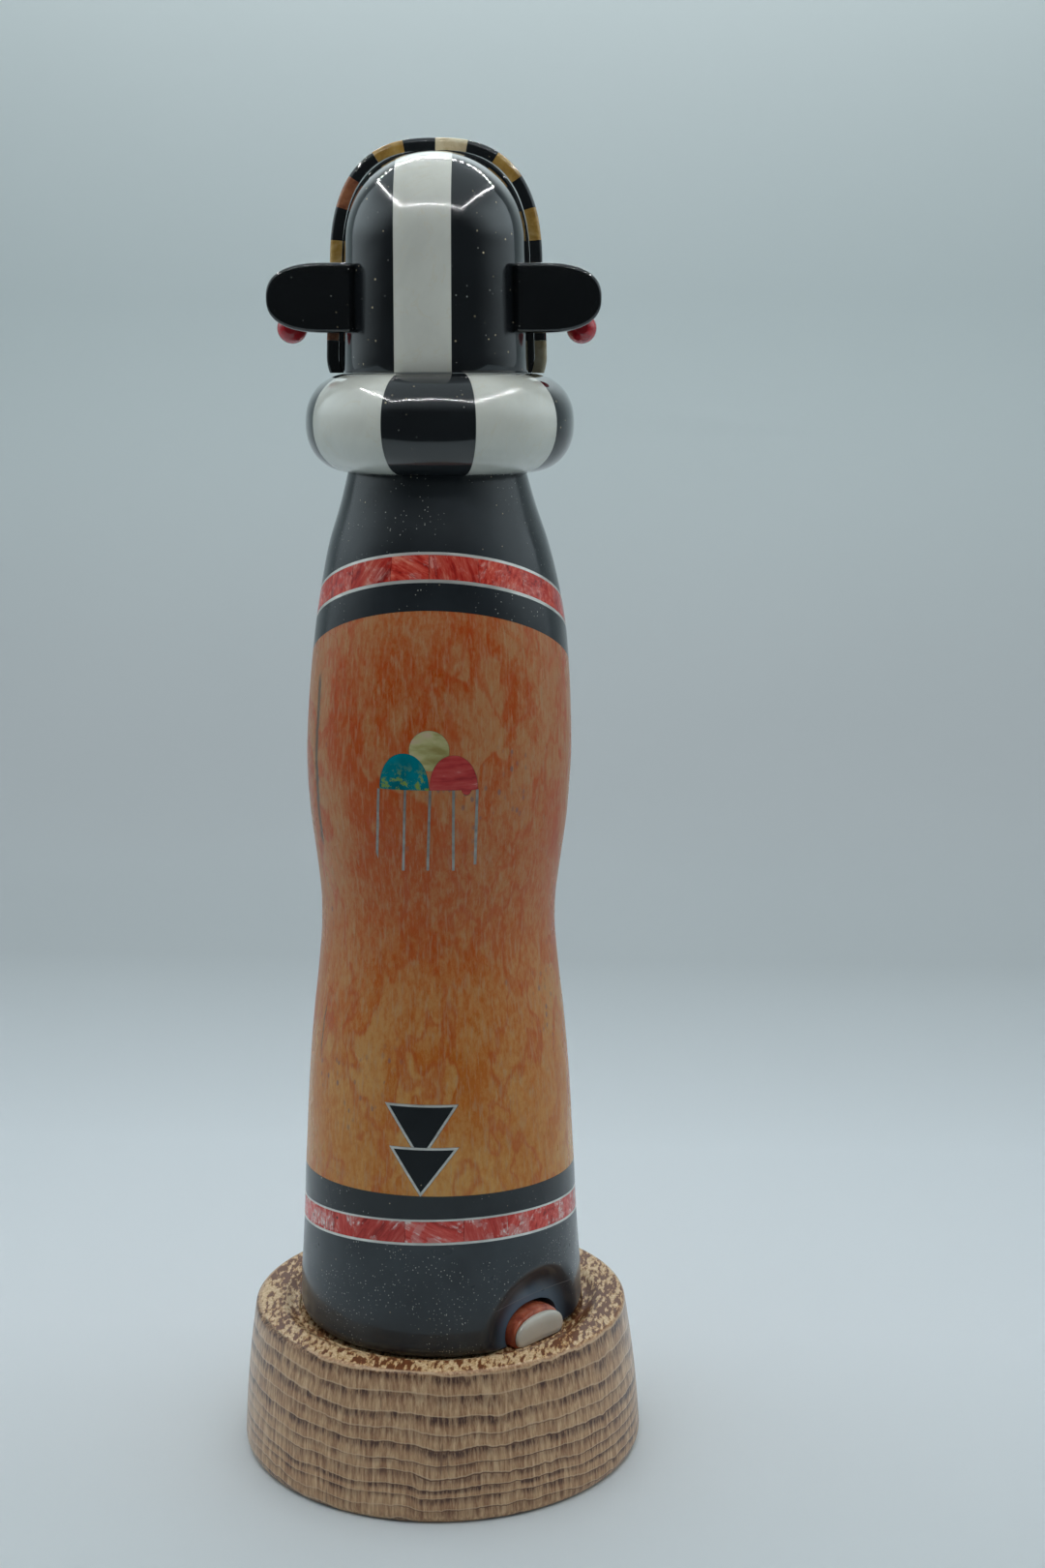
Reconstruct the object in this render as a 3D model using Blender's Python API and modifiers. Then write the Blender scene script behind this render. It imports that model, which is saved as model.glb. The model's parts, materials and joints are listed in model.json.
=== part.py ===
"""Gemstone kachina: a standing figure of cut and inlaid stone on a turned oak base.

The figure faces +Y, so its back, with the cloud and rain panel, faces -Y.
The origin is the centre of the base's underside, and +Z is up.
"""
from math import atan2, cos, hypot, pi, radians, sin, sqrt, tan

import bmesh
import bpy
from mathutils import Matrix, Vector

MM = 0.001
GAP = 0.3 * MM  # joint between touching pieces
SIDES = 36  # facets round a turned piece

# Turned oak base
BASE_HEIGHT = 34.8 * MM
BASE_FOOT_RADIUS = 47.7 * MM
BASE_TOP_RADIUS = 44.5 * MM
BASE_BELLY = 0.5 * MM  # how far the side stands out of a straight taper
BASE_RIM_ROUND = 1.4 * MM
BASE_FOOT_CHAMFER = 1.0 * MM
RECESS_RADIUS = 34.7 * MM
RECESS_DEPTH = 2.7 * MM

# Body, one turned form that the joints cut into layers
BODY_HEIGHT = 198.6 * MM
BODY_CLEARANCE = 1.1 * MM  # between the body's foot and the wall of the recess
BODY_FOOT_ROUND = 3.6 * MM
NECK_RADIUS = 20.1 * MM
BODY_STATIONS = (  # share of the height, radius
    (0.051, 33.5 * MM),
    (0.178, 31.9 * MM),
    (0.324, 30.2 * MM),
    (0.415, 28.3 * MM),
    (0.490, 27.15 * MM),  # waist
    (0.559, 28.3 * MM),
    (0.605, 29.55 * MM),
    (0.651, 30.2 * MM),
    (0.687, 30.4 * MM),  # chest
    (0.788, 29.3 * MM),
    (0.876, 26.8 * MM),
    (0.940, 23.7 * MM),
)
BODY_ROWS = 24

# Layers of the body, measured on its axis, from the seat up
SKIRT_HEIGHT = 23.9 * MM
STRIP_HEIGHT = 0.95 * MM  # each silver strip
HEM_STONE_HEIGHT = 4.6 * MM
HEM_BLACK_HEIGHT = 6.7 * MM
COLLAR_BLACK_HEIGHT = 7.3 * MM
COLLAR_STONE_HEIGHT = 5.75 * MM
SHOULDER_HEIGHT = 27.35 * MM  # the robe takes what the other layers leave
HEM_TILT = radians(6.0)  # the joints rise towards the back
ROBE_FOOT_TILT = radians(2.9)
ROBE_TOP_TILT = radians(26.6)
COLLAR_TILT = radians(25.0)
HEM_SIDE_TILT = radians(1.4)  # and a little towards +X

# Feet and the hollows they stand in
RIGHT_FOOT_TURN = radians(49.5)  # from the back towards +X
LEFT_FOOT_TURN = RIGHT_FOOT_TURN + pi
FOOT_HALF_WIDTH = 7.7 * MM
FOOT_MIDDLE = 2.6 * MM  # height of its widest place above the seat
FOOT_CROWN = 5.5 * MM  # from there to the top
FOOT_LENGTH = 9.0 * MM
SOLE_THICKNESS = 1.3 * MM
SOLE_PROUD = 0.35 * MM
FOOT_OPENING = 1.2 * MM  # room round the foot where it enters the skirt
HOLLOW_REACH = 5.2 * MM  # centre of the hollow, outside the sole
HOLLOW_DEPTH = 10.6 * MM
HOLLOW_HALF_WIDTH = 20.0 * MM
HOLLOW_RISE = 2.4 * MM
HOLLOW_CROWN = 17.6 * MM

# Cloud and rain panel and the two stacked triangles, inlaid flush in the back
INLAY_DEPTH = 3.0 * MM
CLOUD_DROP = 25.1 * MM  # foot of the clouds below the robe's top
CLOUD_X = 0.6 * MM
LEFT_CLOUD_WIDTH = 11.0 * MM
LEFT_CLOUD_HEIGHT = 8.0 * MM
RIGHT_CLOUD_WIDTH = 10.4 * MM
RIGHT_CLOUD_HEIGHT = 7.6 * MM
TOP_CLOUD_RADIUS = 4.6 * MM
TOP_CLOUD_RISE = 8.7 * MM
DRIP_WIDTH = 2.4 * MM
DRIP_LENGTH = 1.4 * MM
TRIANGLE_X = -1.8 * MM
TRIANGLE_TIP_RISE = 1.0 * MM  # above the robe's lower joint
LOWER_TRIANGLE_WIDTH = 15.2 * MM
LOWER_TRIANGLE_HEIGHT = 9.6 * MM
UPPER_TRIANGLE_WIDTH = 16.6 * MM
UPPER_TRIANGLE_HEIGHT = 9.5 * MM
UPPER_TRIANGLE_FOOT = 4.2 * MM
TRIANGLE_SPACE = 0.9 * MM

# Ruff of eight stones
RUFF_HEIGHT = 21.6 * MM
RUFF_RADIUS = 30.1 * MM
RUFF_FLAT_RADIUS = 19.4 * MM
RUFF_FULLNESS = 2.2  # exponent of its rounded rim
RUFF_X = 0.8 * MM  # its middle stands a little to +X of the axis
RUFF_WEDGES = (39.5, 43.0, 52.0, 44.0, 42.0, 44.0, 52.5, 43.0)  # shares of the circle, from the back

# Head: a domed back in three slabs and a face plate with a rim of small stones
HEAD_TURN = radians(3.0)
DOME_RADIUS = 20.1 * MM
DOME_FOOT_RADIUS = 20.7 * MM
DOME_HEIGHT = 48.2 * MM
STRIPE_WIDTH = 13.1 * MM
STRIPE_X = -2.0 * MM
FACE_BACK = 3.0 * MM  # the plate's back, in front of the axis
FACE_THICKNESS = 8.0 * MM
FACE_BULGE = 2.6 * MM
FACE_RISE = 2.8 * MM  # its top, above the dome's
FACE_SPRING = 21.5 * MM  # height where the arch begins
FACE_HALF_WIDTH = 23.8 * MM
FACE_CHEEK = 1.05 * MM  # the sides swell by this much, low down
FACE_ARCH_FULLNESS = 2.6
RIM_THICKNESS = 2.3 * MM
RIM_CHAMFER = 0.7 * MM
RIM_COUNT = 18
EYE_WIDTH = 6.0 * MM
EYE_HEIGHT = 2.4 * MM
EYE_RISE = 30.0 * MM
EYE_SPACING = 16.0 * MM
MOUTH_WIDTH = 5.0 * MM
MOUTH_HEIGHT = 3.0 * MM
MOUTH_RISE = 14.0 * MM
FACE_INLAY_DEPTH = 2.0 * MM

# Ears with a bead in front of each
EAR_REACH = 36.5 * MM
EAR_LAP = 3.3 * MM  # how far its inner end laps over the dome's side
EAR_HEIGHT = 14.9 * MM
EAR_MIDDLE = 15.8 * MM  # above the head's underside
EAR_BACK = 12.3 * MM  # its back face, behind the axis
EAR_ROUND_LENGTH = 13.0 * MM
EAR_FULLNESS = 2.5
EAR_EDGE = 1.0 * MM
BEAD_RADIUS = 3.45 * MM
BEAD_INSET = 3.9 * MM  # its centre from the ear's tip
BEAD_RISE = 1.3 * MM  # its centre above the ear's lower edge

# Colours, roughness and metal of the pieces
STONES = {
    "black_stone": ((0.016, 0.019, 0.022), 0.12, 0.0),
    "white_stone": ((0.56, 0.58, 0.55), 0.16, 0.0),
    "orange_stone": ((0.46, 0.17, 0.055), 0.28, 0.0),
    "red_stone": ((0.45, 0.045, 0.03), 0.2, 0.0),
    "silver": ((0.62, 0.62, 0.58), 0.3, 1.0),
    "pearl_shell": ((0.42, 0.4, 0.2), 0.2, 0.0),
    "turquoise": ((0.0, 0.2, 0.22), 0.22, 0.0),
    "gold_stone": ((0.45, 0.26, 0.06), 0.2, 0.0),
    "cream_stone": ((0.6, 0.5, 0.3), 0.2, 0.0),
    "apricot_stone": ((0.36, 0.14, 0.05), 0.2, 0.0),
    "coral_bead": ((0.3, 0.01, 0.014), 0.15, 0.0),
    "moccasin_stone": ((0.42, 0.085, 0.03), 0.2, 0.0),
    "oak": ((0.3, 0.17, 0.08), 0.2, 0.0),
}

# Places worked out from the sizes above
SEAT = BASE_HEIGHT - RECESS_DEPTH + GAP
NECK = SEAT + BODY_HEIGHT
RUFF_FOOT = NECK + GAP
HEAD_FOOT = RUFF_FOOT + RUFF_HEIGHT + GAP
BODY_FOOT_RADIUS = RECESS_RADIUS - BODY_CLEARANCE
SOLE_FACE = sqrt(BODY_FOOT_RADIUS ** 2 - FOOT_HALF_WIDTH ** 2)
EAR_FRONT = FACE_BACK - GAP
ROBE_FOOT_HEIGHT = SEAT + SKIRT_HEIGHT + 2 * STRIP_HEIGHT + HEM_STONE_HEIGHT + HEM_BLACK_HEIGHT
COLLAR_HEIGHT = COLLAR_BLACK_HEIGHT + COLLAR_STONE_HEIGHT + 2 * STRIP_HEIGHT
ROBE_HEIGHT = NECK - SHOULDER_HEIGHT - COLLAR_HEIGHT - ROBE_FOOT_HEIGHT
CLOUD_FOOT = ROBE_FOOT_HEIGHT + ROBE_HEIGHT - CLOUD_DROP
FACE_HEIGHT = DOME_HEIGHT + FACE_RISE


def clear_scene():
    """Remove whatever the open file holds."""
    for old in list(bpy.data.objects):
        bpy.data.objects.remove(old, do_unlink=True)


def make_collection(name):
    collection = bpy.data.collections.new(name)
    bpy.context.scene.collection.children.link(collection)
    return collection


def stone(name):
    """The Principled material of one kind of stone, metal or wood."""
    material = bpy.data.materials.get(name) or bpy.data.materials.new(name)
    material.use_nodes = True
    colour, roughness, metallic = STONES[name]
    shader = material.node_tree.nodes["Principled BSDF"]
    shader.inputs["Base Color"].default_value = (*colour, 1.0)
    shader.inputs["Roughness"].default_value = roughness
    shader.inputs["Metallic"].default_value = metallic
    return material


def add_piece(name, mesh, material, parent=None):
    """Link a finished mesh as one piece of the figure."""
    mesh.name = name
    mesh.materials.clear()
    mesh.materials.append(stone(material))
    mesh.shade_smooth()
    mesh.set_sharp_from_angle(angle=radians(32))
    piece = bpy.data.objects.new(name, mesh)
    FIGURE.objects.link(piece)
    piece.parent = parent
    return piece


def add_guide(name, mesh):
    """Link a mesh as a cutter or guide, which is no piece of the figure."""
    mesh.name = name
    guide = bpy.data.objects.new(name, mesh)
    GUIDES.objects.link(guide)
    guide.hide_render = True
    guide.display_type = "WIRE"
    return guide


def mesh_from(build):
    """A new mesh filled by build(bm), with its faces pointing out."""
    bm = bmesh.new()
    build(bm)
    bmesh.ops.recalc_face_normals(bm, faces=bm.faces)
    mesh = bpy.data.meshes.new("mesh")
    bm.to_mesh(mesh)
    bm.free()
    return mesh


def turned_form(name, profile, sides=SIDES):
    """A guide turned round Z from (radius, height) points that run from the top down."""
    mesh = bpy.data.meshes.new(name)
    points = [(r, 0.0, z) for r, z in profile]
    mesh.from_pydata(points, [(i, i + 1) for i in range(len(points) - 1)], [])
    form = add_guide(name, mesh)
    screw = form.modifiers.new("turn", "SCREW")
    screw.axis = "Z"
    screw.angle = 2 * pi
    screw.steps = sides
    screw.render_steps = sides
    screw.use_merge_vertices = True
    screw.merge_threshold = 0.00001
    return form


def shape_of(form):
    """The mesh of a guide with its modifiers applied."""
    bpy.context.view_layer.update()
    graph = bpy.context.evaluated_depsgraph_get()
    return bpy.data.meshes.new_from_object(form.evaluated_get(graph))


def slice_of(form, planes):
    """The closed piece of a form behind every plane, each a (point, normal) pair."""
    source = shape_of(form)

    def build(bm):
        bm.from_mesh(source)
        for point, normal in planes:
            everything = bm.verts[:] + bm.edges[:] + bm.faces[:]
            bmesh.ops.bisect_plane(
                bm, geom=everything, dist=1e-7, plane_co=point, plane_no=normal, clear_outer=True
            )
            rim = [edge for edge in bm.edges if edge.is_boundary]
            bmesh.ops.holes_fill(bm, edges=rim, sides=0)

    mesh = mesh_from(build)
    bpy.data.meshes.remove(source)
    return mesh


def prism(outline, near, far):
    """A mesh of an (x, z) outline pushed along Y from near to far."""

    def build(bm):
        face = bm.faces.new([bm.verts.new((x, near, z)) for x, z in outline])
        pushed = bmesh.ops.extrude_face_region(bm, geom=[face])
        corners = [item for item in pushed["geom"] if isinstance(item, bmesh.types.BMVert)]
        bmesh.ops.translate(bm, verts=corners, vec=(0.0, far - near, 0.0))

    return mesh_from(build)


def loft(rings):
    """A mesh skinned over rings of equal count, closed by a face at each end."""

    def build(bm):
        loops = [[bm.verts.new(point) for point in ring] for ring in rings]
        count = len(loops[0])
        for lower, upper in zip(loops, loops[1:]):
            for i in range(count):
                j = (i + 1) % count
                bm.faces.new((lower[i], lower[j], upper[j], upper[i]))
        bm.faces.new(loops[0])
        bm.faces.new(loops[-1])

    return mesh_from(build)


def add_boolean(piece, cutter, operation):
    modifier = piece.modifiers.new(cutter.name, "BOOLEAN")
    modifier.operation = operation
    modifier.object = cutter
    return modifier


def superellipse(angle, across, up, fullness):
    """A point on a rounded outline; fullness 2 is an ellipse and more is squarer."""
    c = cos(angle)
    s = sin(angle)
    x = across * abs(c) ** (2 / fullness) * (1 if c >= 0 else -1)
    y = up * abs(s) ** (2 / fullness) * (1 if s >= 0 else -1)
    return x, y


def blend_through(stations, where):
    """A smooth curve through (place, value) stations, read at one place."""
    last = len(stations) - 1
    i = 0
    while i < last - 1 and where > stations[i + 1][0]:
        i += 1
    (x0, y0), (x1, y1) = stations[i], stations[i + 1]

    def slope(k):
        before = stations[max(k - 1, 0)]
        after = stations[min(k + 1, last)]
        return (after[1] - before[1]) / (after[0] - before[0])

    span = x1 - x0
    t = min(max((where - x0) / span, 0.0), 1.0)
    rise = (2 * t ** 3 - 3 * t ** 2 + 1) * y0 + (3 * t ** 2 - 2 * t ** 3) * y1
    bend = (t ** 3 - 2 * t ** 2 + t) * slope(i) + (t ** 3 - t ** 2) * slope(i + 1)
    return rise + span * bend


def body_radius(height):
    """Radius of the turned body at a height in the figure."""
    stations = ((0.0, BODY_FOOT_RADIUS),) + BODY_STATIONS + ((1.0, NECK_RADIUS),)
    return blend_through(stations, (height - SEAT) / BODY_HEIGHT)


def body_profile():
    """The body's outline, from the neck down to its rounded foot."""
    low = SEAT + BODY_FOOT_ROUND
    points = [(0.0, NECK)]
    for i in range(BODY_ROWS + 1):
        height = NECK + (low - NECK) * i / BODY_ROWS
        points.append((body_radius(height), height))
    for i in range(1, 4):
        turn = radians(30 * i)
        inward = BODY_FOOT_ROUND * (1 - cos(turn))
        points.append((body_radius(low) - inward, low - BODY_FOOT_ROUND * sin(turn)))
    return points + [(0.0, SEAT)]


def tilted_plane(height, tilt, side_tilt=0.0):
    """A joint that crosses the axis at a height and rises towards the back and +X."""
    normal = Vector((-tan(side_tilt), tan(tilt), 1.0)).normalized()
    return Vector((0.0, 0.0, height)), normal


def joint_height(plane, x, y):
    """Height of a joint plane over a place."""
    point, normal = plane
    return point.z - (normal.x * x + normal.y * y) / normal.z


def make_base():
    """Tapered disc with a rounded rim, a slightly swollen side and a round recess."""
    top = BASE_HEIGHT
    floor = BASE_HEIGHT - RECESS_DEPTH
    points = [(0.0, floor), (RECESS_RADIUS, floor), (RECESS_RADIUS, top)]
    for i in range(4):
        turn = radians(30 * i)
        shoulder = BASE_TOP_RADIUS - BASE_RIM_ROUND
        points.append((shoulder + BASE_RIM_ROUND * sin(turn), top - BASE_RIM_ROUND * (1 - cos(turn))))
    rows = 4
    start = top - BASE_RIM_ROUND
    for i in range(1, rows + 1):
        share = i / rows
        radius = BASE_TOP_RADIUS + (BASE_FOOT_RADIUS - BASE_TOP_RADIUS) * share
        belly = BASE_BELLY * sin(pi * share)
        points.append((radius + belly, start + (BASE_FOOT_CHAMFER - start) * share))
    points.append((BASE_FOOT_RADIUS - BASE_FOOT_CHAMFER, 0.0))
    points.append((0.0, 0.0))
    form = turned_form("base_form", points, sides=SIDES + 8)
    add_piece("base", shape_of(form), "oak")


def make_body():
    """Cut the turned body into its layers at the tilted joints."""
    form = turned_form("body_form", body_profile())
    layers = (  # name, height on the axis, material, tilt of its upper joint, side tilt
        ("skirt", SKIRT_HEIGHT, "black_stone", HEM_TILT, HEM_SIDE_TILT),
        ("hem_strip_lower", STRIP_HEIGHT, "silver", HEM_TILT, HEM_SIDE_TILT),
        ("hem_stone_band", HEM_STONE_HEIGHT, "red_stone", HEM_TILT, HEM_SIDE_TILT),
        ("hem_strip_upper", STRIP_HEIGHT, "silver", HEM_TILT, HEM_SIDE_TILT),
        ("hem_black_band", HEM_BLACK_HEIGHT, "black_stone", ROBE_FOOT_TILT, 0.0),
        ("robe", ROBE_HEIGHT, "orange_stone", ROBE_TOP_TILT, 0.0),
        ("collar_black_band", COLLAR_BLACK_HEIGHT, "black_stone", COLLAR_TILT, 0.0),
        ("collar_strip_lower", STRIP_HEIGHT, "silver", COLLAR_TILT, 0.0),
        ("collar_stone_band", COLLAR_STONE_HEIGHT, "red_stone", COLLAR_TILT, 0.0),
        ("collar_strip_upper", STRIP_HEIGHT, "silver", COLLAR_TILT, 0.0),
        ("shoulders", None, "black_stone", None, None),
    )
    height = SEAT
    below = None
    pieces = {}
    half_gap = Vector((0.0, 0.0, GAP / 2))
    for name, thickness, material, tilt, side_tilt in layers:
        planes = []
        if below:
            point, normal = below
            planes.append((point + half_gap, -normal))
        if thickness:
            height += thickness
            below = tilted_plane(height, tilt, side_tilt)
            point, normal = below
            planes.append((point - half_gap, normal))
        pieces[name] = add_piece(name, slice_of(form, planes), material)
    return form, pieces


def foot_outline(grow=0.0):
    """Arched outline of a foot, flat where it stands, grown outwards by an amount."""
    half = FOOT_HALF_WIDTH + grow
    crown = FOOT_CROWN + grow
    drop = FOOT_MIDDLE / crown
    start = -drop * pi / 3
    points = []
    steps = 14
    for i in range(steps + 1):
        angle = start + (pi - 2 * start) * i / steps
        x, z = superellipse(angle, half, crown, 2.2)
        points.append((x, SEAT + FOOT_MIDDLE + z))
    ground = SEAT if grow == 0 else SEAT - grow
    points[0] = (points[1][0] * 0.86, ground)
    points[-1] = (points[-2][0] * 0.86, ground)
    return points


def ring_at(outline, reach, scale=1.0):
    """An outline stood up at a distance from the axis, shrunk about its foot."""
    return [(x * scale, -reach, SEAT + (z - SEAT) * scale) for x, z in outline]


def make_feet(skirt):
    """Moccasins with pale soles, each in an opening at the bottom of a scooped hollow."""
    outline = foot_outline()
    heel = SOLE_FACE - SOLE_THICKNESS - GAP
    back_rings = [
        ring_at(outline, heel, 0.985),
        ring_at(outline, heel - 0.12 * FOOT_LENGTH, 1.0),
        ring_at(outline, heel - 0.45 * FOOT_LENGTH, 0.99),
        ring_at(outline, heel - FOOT_LENGTH, 0.94),
    ]
    sole = prism(outline, -(SOLE_FACE - SOLE_THICKNESS), -SOLE_FACE)
    right = add_piece("moccasin_right", loft(back_rings), "moccasin_stone")
    right.rotation_euler.z = RIGHT_FOOT_TURN
    sole_right = add_piece("sole_right", sole, "white_stone")
    sole_right.rotation_euler.z = RIGHT_FOOT_TURN
    edge = sole_right.modifiers.new("edge", "BEVEL")
    edge.width = SOLE_PROUD
    edge.segments = 1
    make_front_foot()

    opening = prism(foot_outline(FOOT_OPENING), -(heel - FOOT_LENGTH - GAP), -BASE_FOOT_RADIUS)
    hollow_centre = Vector((0.0, -(SOLE_FACE + HOLLOW_REACH), SEAT + HOLLOW_RISE))

    def scoop(bm):
        bmesh.ops.create_uvsphere(bm, u_segments=28, v_segments=16, radius=1.0)
        size = Matrix.Diagonal((HOLLOW_HALF_WIDTH, HOLLOW_DEPTH, HOLLOW_CROWN, 1.0))
        bmesh.ops.transform(bm, matrix=Matrix.Translation(hollow_centre) @ size, verts=bm.verts)

    hollow = mesh_from(scoop)
    for side, turn in (("right", RIGHT_FOOT_TURN), ("left", LEFT_FOOT_TURN)):
        for name, mesh in (("foot_hollow_" + side, hollow), ("foot_opening_" + side, opening)):
            cutter = add_guide(name, mesh)
            cutter.rotation_euler.z = turn
            add_boolean(skirt, cutter, "DIFFERENCE")


def make_front_foot():
    """The toe of the left moccasin on its thin sole, which points out of the front."""
    outline = foot_outline()
    sole_top = SOLE_THICKNESS + GAP
    toe_rings = []
    for reach, scale in ((0.0, 0.5), (0.05, 0.68), (0.15, 0.84), (0.34, 0.95), (0.6, 1.0), (1.0, 1.0)):
        distance = SOLE_FACE - SOLE_PROUD - FOOT_LENGTH * reach
        ring = []
        for x, z in outline:
            rise = (z - SEAT) * (1 - sole_top / (FOOT_MIDDLE + FOOT_CROWN)) * scale
            ring.append((x * scale, -distance, SEAT + sole_top + rise))
        toe_rings.append(ring)
    toe = add_piece("moccasin_left", loft(toe_rings), "moccasin_stone")
    toe.rotation_euler.z = LEFT_FOOT_TURN

    def build(bm):
        corners = []
        for i in range(13):
            x, y = superellipse(pi * i / 12, FOOT_HALF_WIDTH, 0.55 * FOOT_LENGTH, 2.6)
            corners.append((x, y))
        back = SOLE_FACE - FOOT_LENGTH
        tip = SOLE_FACE - 0.55 * FOOT_LENGTH
        ring = [bm.verts.new((x, -(tip + y), SEAT)) for x, y in corners]
        ring.append(bm.verts.new((-FOOT_HALF_WIDTH, -back, SEAT)))
        ring.append(bm.verts.new((FOOT_HALF_WIDTH, -back, SEAT)))
        face = bm.faces.new(ring)
        pushed = bmesh.ops.extrude_face_region(bm, geom=[face])
        upper = [item for item in pushed["geom"] if isinstance(item, bmesh.types.BMVert)]
        bmesh.ops.translate(bm, verts=upper, vec=(0.0, 0.0, SOLE_THICKNESS))

    sole = add_piece("sole_left", mesh_from(build), "white_stone")
    sole.rotation_euler.z = LEFT_FOOT_TURN


def cloud_outline(centre_x, width, height, grow=0.0):
    """A half-round cloud standing on its flat foot."""
    steps = 12
    arch = []
    for i in range(steps + 1):
        x, z = superellipse(pi * i / steps, width / 2 + grow, height + grow, 2.0)
        arch.append((centre_x + x, CLOUD_FOOT + z))
    foot = CLOUD_FOOT - grow
    return arch + [(arch[-1][0], foot), (arch[0][0], foot)] if grow else arch


def disc_outline(centre_x, centre_z, radius):
    steps = 20
    ring = [2 * pi * i / steps for i in range(steps)]
    return [(centre_x + radius * cos(a), centre_z + radius * sin(a)) for a in ring]


def inset_point(corner, centre, amount):
    """A corner moved straight away from the centre by an amount."""
    dx = corner[0] - centre[0]
    dz = corner[1] - centre[1]
    reach = hypot(dx, dz)
    return corner[0] + dx / reach * amount, corner[1] + dz / reach * amount


def grown(outline, amount):
    """A convex outline with its corners pushed out, for the pocket of an inlay."""
    x = sum(point[0] for point in outline) / len(outline)
    z = sum(point[1] for point in outline) / len(outline)
    return [inset_point(corner, (x, z), amount) for corner in outline]


def inlay(name, outline, pocket_outline, material, form, host, depth, face_y, parent=None):
    """A flush inlay cut to the form's surface, and its pocket cut in the host."""
    outside = face_y - 0.05 if face_y < 0 else face_y + 0.05
    floor = face_y + depth if face_y < 0 else face_y - depth
    pocket_floor = floor + GAP if face_y < 0 else floor - GAP
    piece = add_piece(name, prism(outline, floor, outside), material, parent)
    add_boolean(piece, form, "INTERSECT")
    pocket = add_guide(name + "_pocket", prism(pocket_outline, pocket_floor, outside))
    pocket.parent = parent
    add_boolean(host, pocket, "DIFFERENCE")
    return piece, pocket


def make_clouds(form, robe):
    """Three cloud stones that meet: a round one over two half-round ones."""
    face_y = -body_radius(CLOUD_FOOT)
    left_x = CLOUD_X - GAP / 2 - LEFT_CLOUD_WIDTH / 2
    right_x = CLOUD_X + GAP / 2 + RIGHT_CLOUD_WIDTH / 2
    left = cloud_outline(left_x, LEFT_CLOUD_WIDTH, LEFT_CLOUD_HEIGHT)
    left_pocket = cloud_outline(left_x, LEFT_CLOUD_WIDTH, LEFT_CLOUD_HEIGHT, GAP)
    right = cloud_outline(right_x, RIGHT_CLOUD_WIDTH, RIGHT_CLOUD_HEIGHT)
    right_pocket = cloud_outline(right_x, RIGHT_CLOUD_WIDTH, RIGHT_CLOUD_HEIGHT, GAP)
    top_height = CLOUD_FOOT + TOP_CLOUD_RISE
    top = disc_outline(CLOUD_X, top_height, TOP_CLOUD_RADIUS)
    top_pocket = disc_outline(CLOUD_X, top_height, TOP_CLOUD_RADIUS + GAP)
    common = (form, robe, INLAY_DEPTH, face_y)
    _, left_cut = inlay("cloud_left", left, left_pocket, "turquoise", *common)
    _, right_cut = inlay("cloud_right", right, right_pocket, "red_stone", *common)
    pearl, _ = inlay("cloud_top", top, top_pocket, "pearl_shell", *common)
    for cutter in (left_cut, right_cut):
        add_boolean(pearl, cutter, "DIFFERENCE")


def make_triangles(form, robe):
    """Two triangles that point down, one standing on the other."""
    robe_foot = tilted_plane(ROBE_FOOT_HEIGHT, ROBE_FOOT_TILT)
    tip = joint_height(robe_foot, TRIANGLE_X, -BODY_FOOT_RADIUS) + TRIANGLE_TIP_RISE
    middle = tip + LOWER_TRIANGLE_HEIGHT
    top = middle + TRIANGLE_SPACE + UPPER_TRIANGLE_HEIGHT
    blunt = 0.4 * MM
    lower = [
        (TRIANGLE_X - LOWER_TRIANGLE_WIDTH / 2, middle),
        (TRIANGLE_X - blunt, tip),
        (TRIANGLE_X + blunt, tip),
        (TRIANGLE_X + LOWER_TRIANGLE_WIDTH / 2, middle),
    ]
    upper = [
        (TRIANGLE_X - UPPER_TRIANGLE_WIDTH / 2, top),
        (TRIANGLE_X - UPPER_TRIANGLE_FOOT / 2, middle + TRIANGLE_SPACE),
        (TRIANGLE_X + UPPER_TRIANGLE_FOOT / 2, middle + TRIANGLE_SPACE),
        (TRIANGLE_X + UPPER_TRIANGLE_WIDTH / 2, top),
    ]
    for name, outline in (("triangle_lower", lower), ("triangle_upper", upper)):
        face_y = -body_radius(middle)
        inlay(name, outline, grown(outline, 2 * GAP), "black_stone", form, robe, INLAY_DEPTH, face_y)


def make_ruff():
    """A thick disc with a full round rim, in eight equal stones round the axis."""
    half = RUFF_HEIGHT / 2
    middle = RUFF_FOOT + half
    points = [(0.0, RUFF_FOOT + RUFF_HEIGHT)]
    steps = 8
    for i in range(steps + 1):
        angle = pi / 2 - pi * i / steps
        out, up = superellipse(angle, RUFF_RADIUS - RUFF_FLAT_RADIUS, half, RUFF_FULLNESS)
        points.append((RUFF_FLAT_RADIUS + out, middle + up))
    points.append((0.0, RUFF_FOOT))
    form = turned_form("ruff_form", points)
    degree = 2 * pi / sum(RUFF_WEDGES)
    start = -pi / 2 - degree * RUFF_WEDGES[0] / 2
    for number, share in enumerate(RUFF_WEDGES):
        end = start + degree * share
        planes = []
        for turn, side in ((start, -1), (end, 1)):
            across = Vector((-sin(turn), cos(turn), 0.0)) * side
            planes.append((-across * GAP / 2, across))
        material = "white_stone" if number % 2 else "black_stone"
        piece = add_piece("ruff_stone_%d" % (number + 1), slice_of(form, planes), material)
        piece.location.x = RUFF_X
        start = end


def dome_form(name, grow=0.0):
    """The turned bullet shape of the head's back, grown outwards by an amount."""
    foot = HEAD_FOOT - grow
    spring = HEAD_FOOT + DOME_HEIGHT - DOME_RADIUS
    points = []
    steps = 7
    for i in range(steps + 1):
        angle = pi / 2 * (1 - i / steps)
        out, up = superellipse(angle, DOME_RADIUS + grow, DOME_RADIUS + grow, 2.0)
        points.append((out if i else 0.0, spring + up))
    points.append((DOME_FOOT_RADIUS + grow, foot))
    points.append((0.0, foot))
    return turned_form(name, points)


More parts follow.
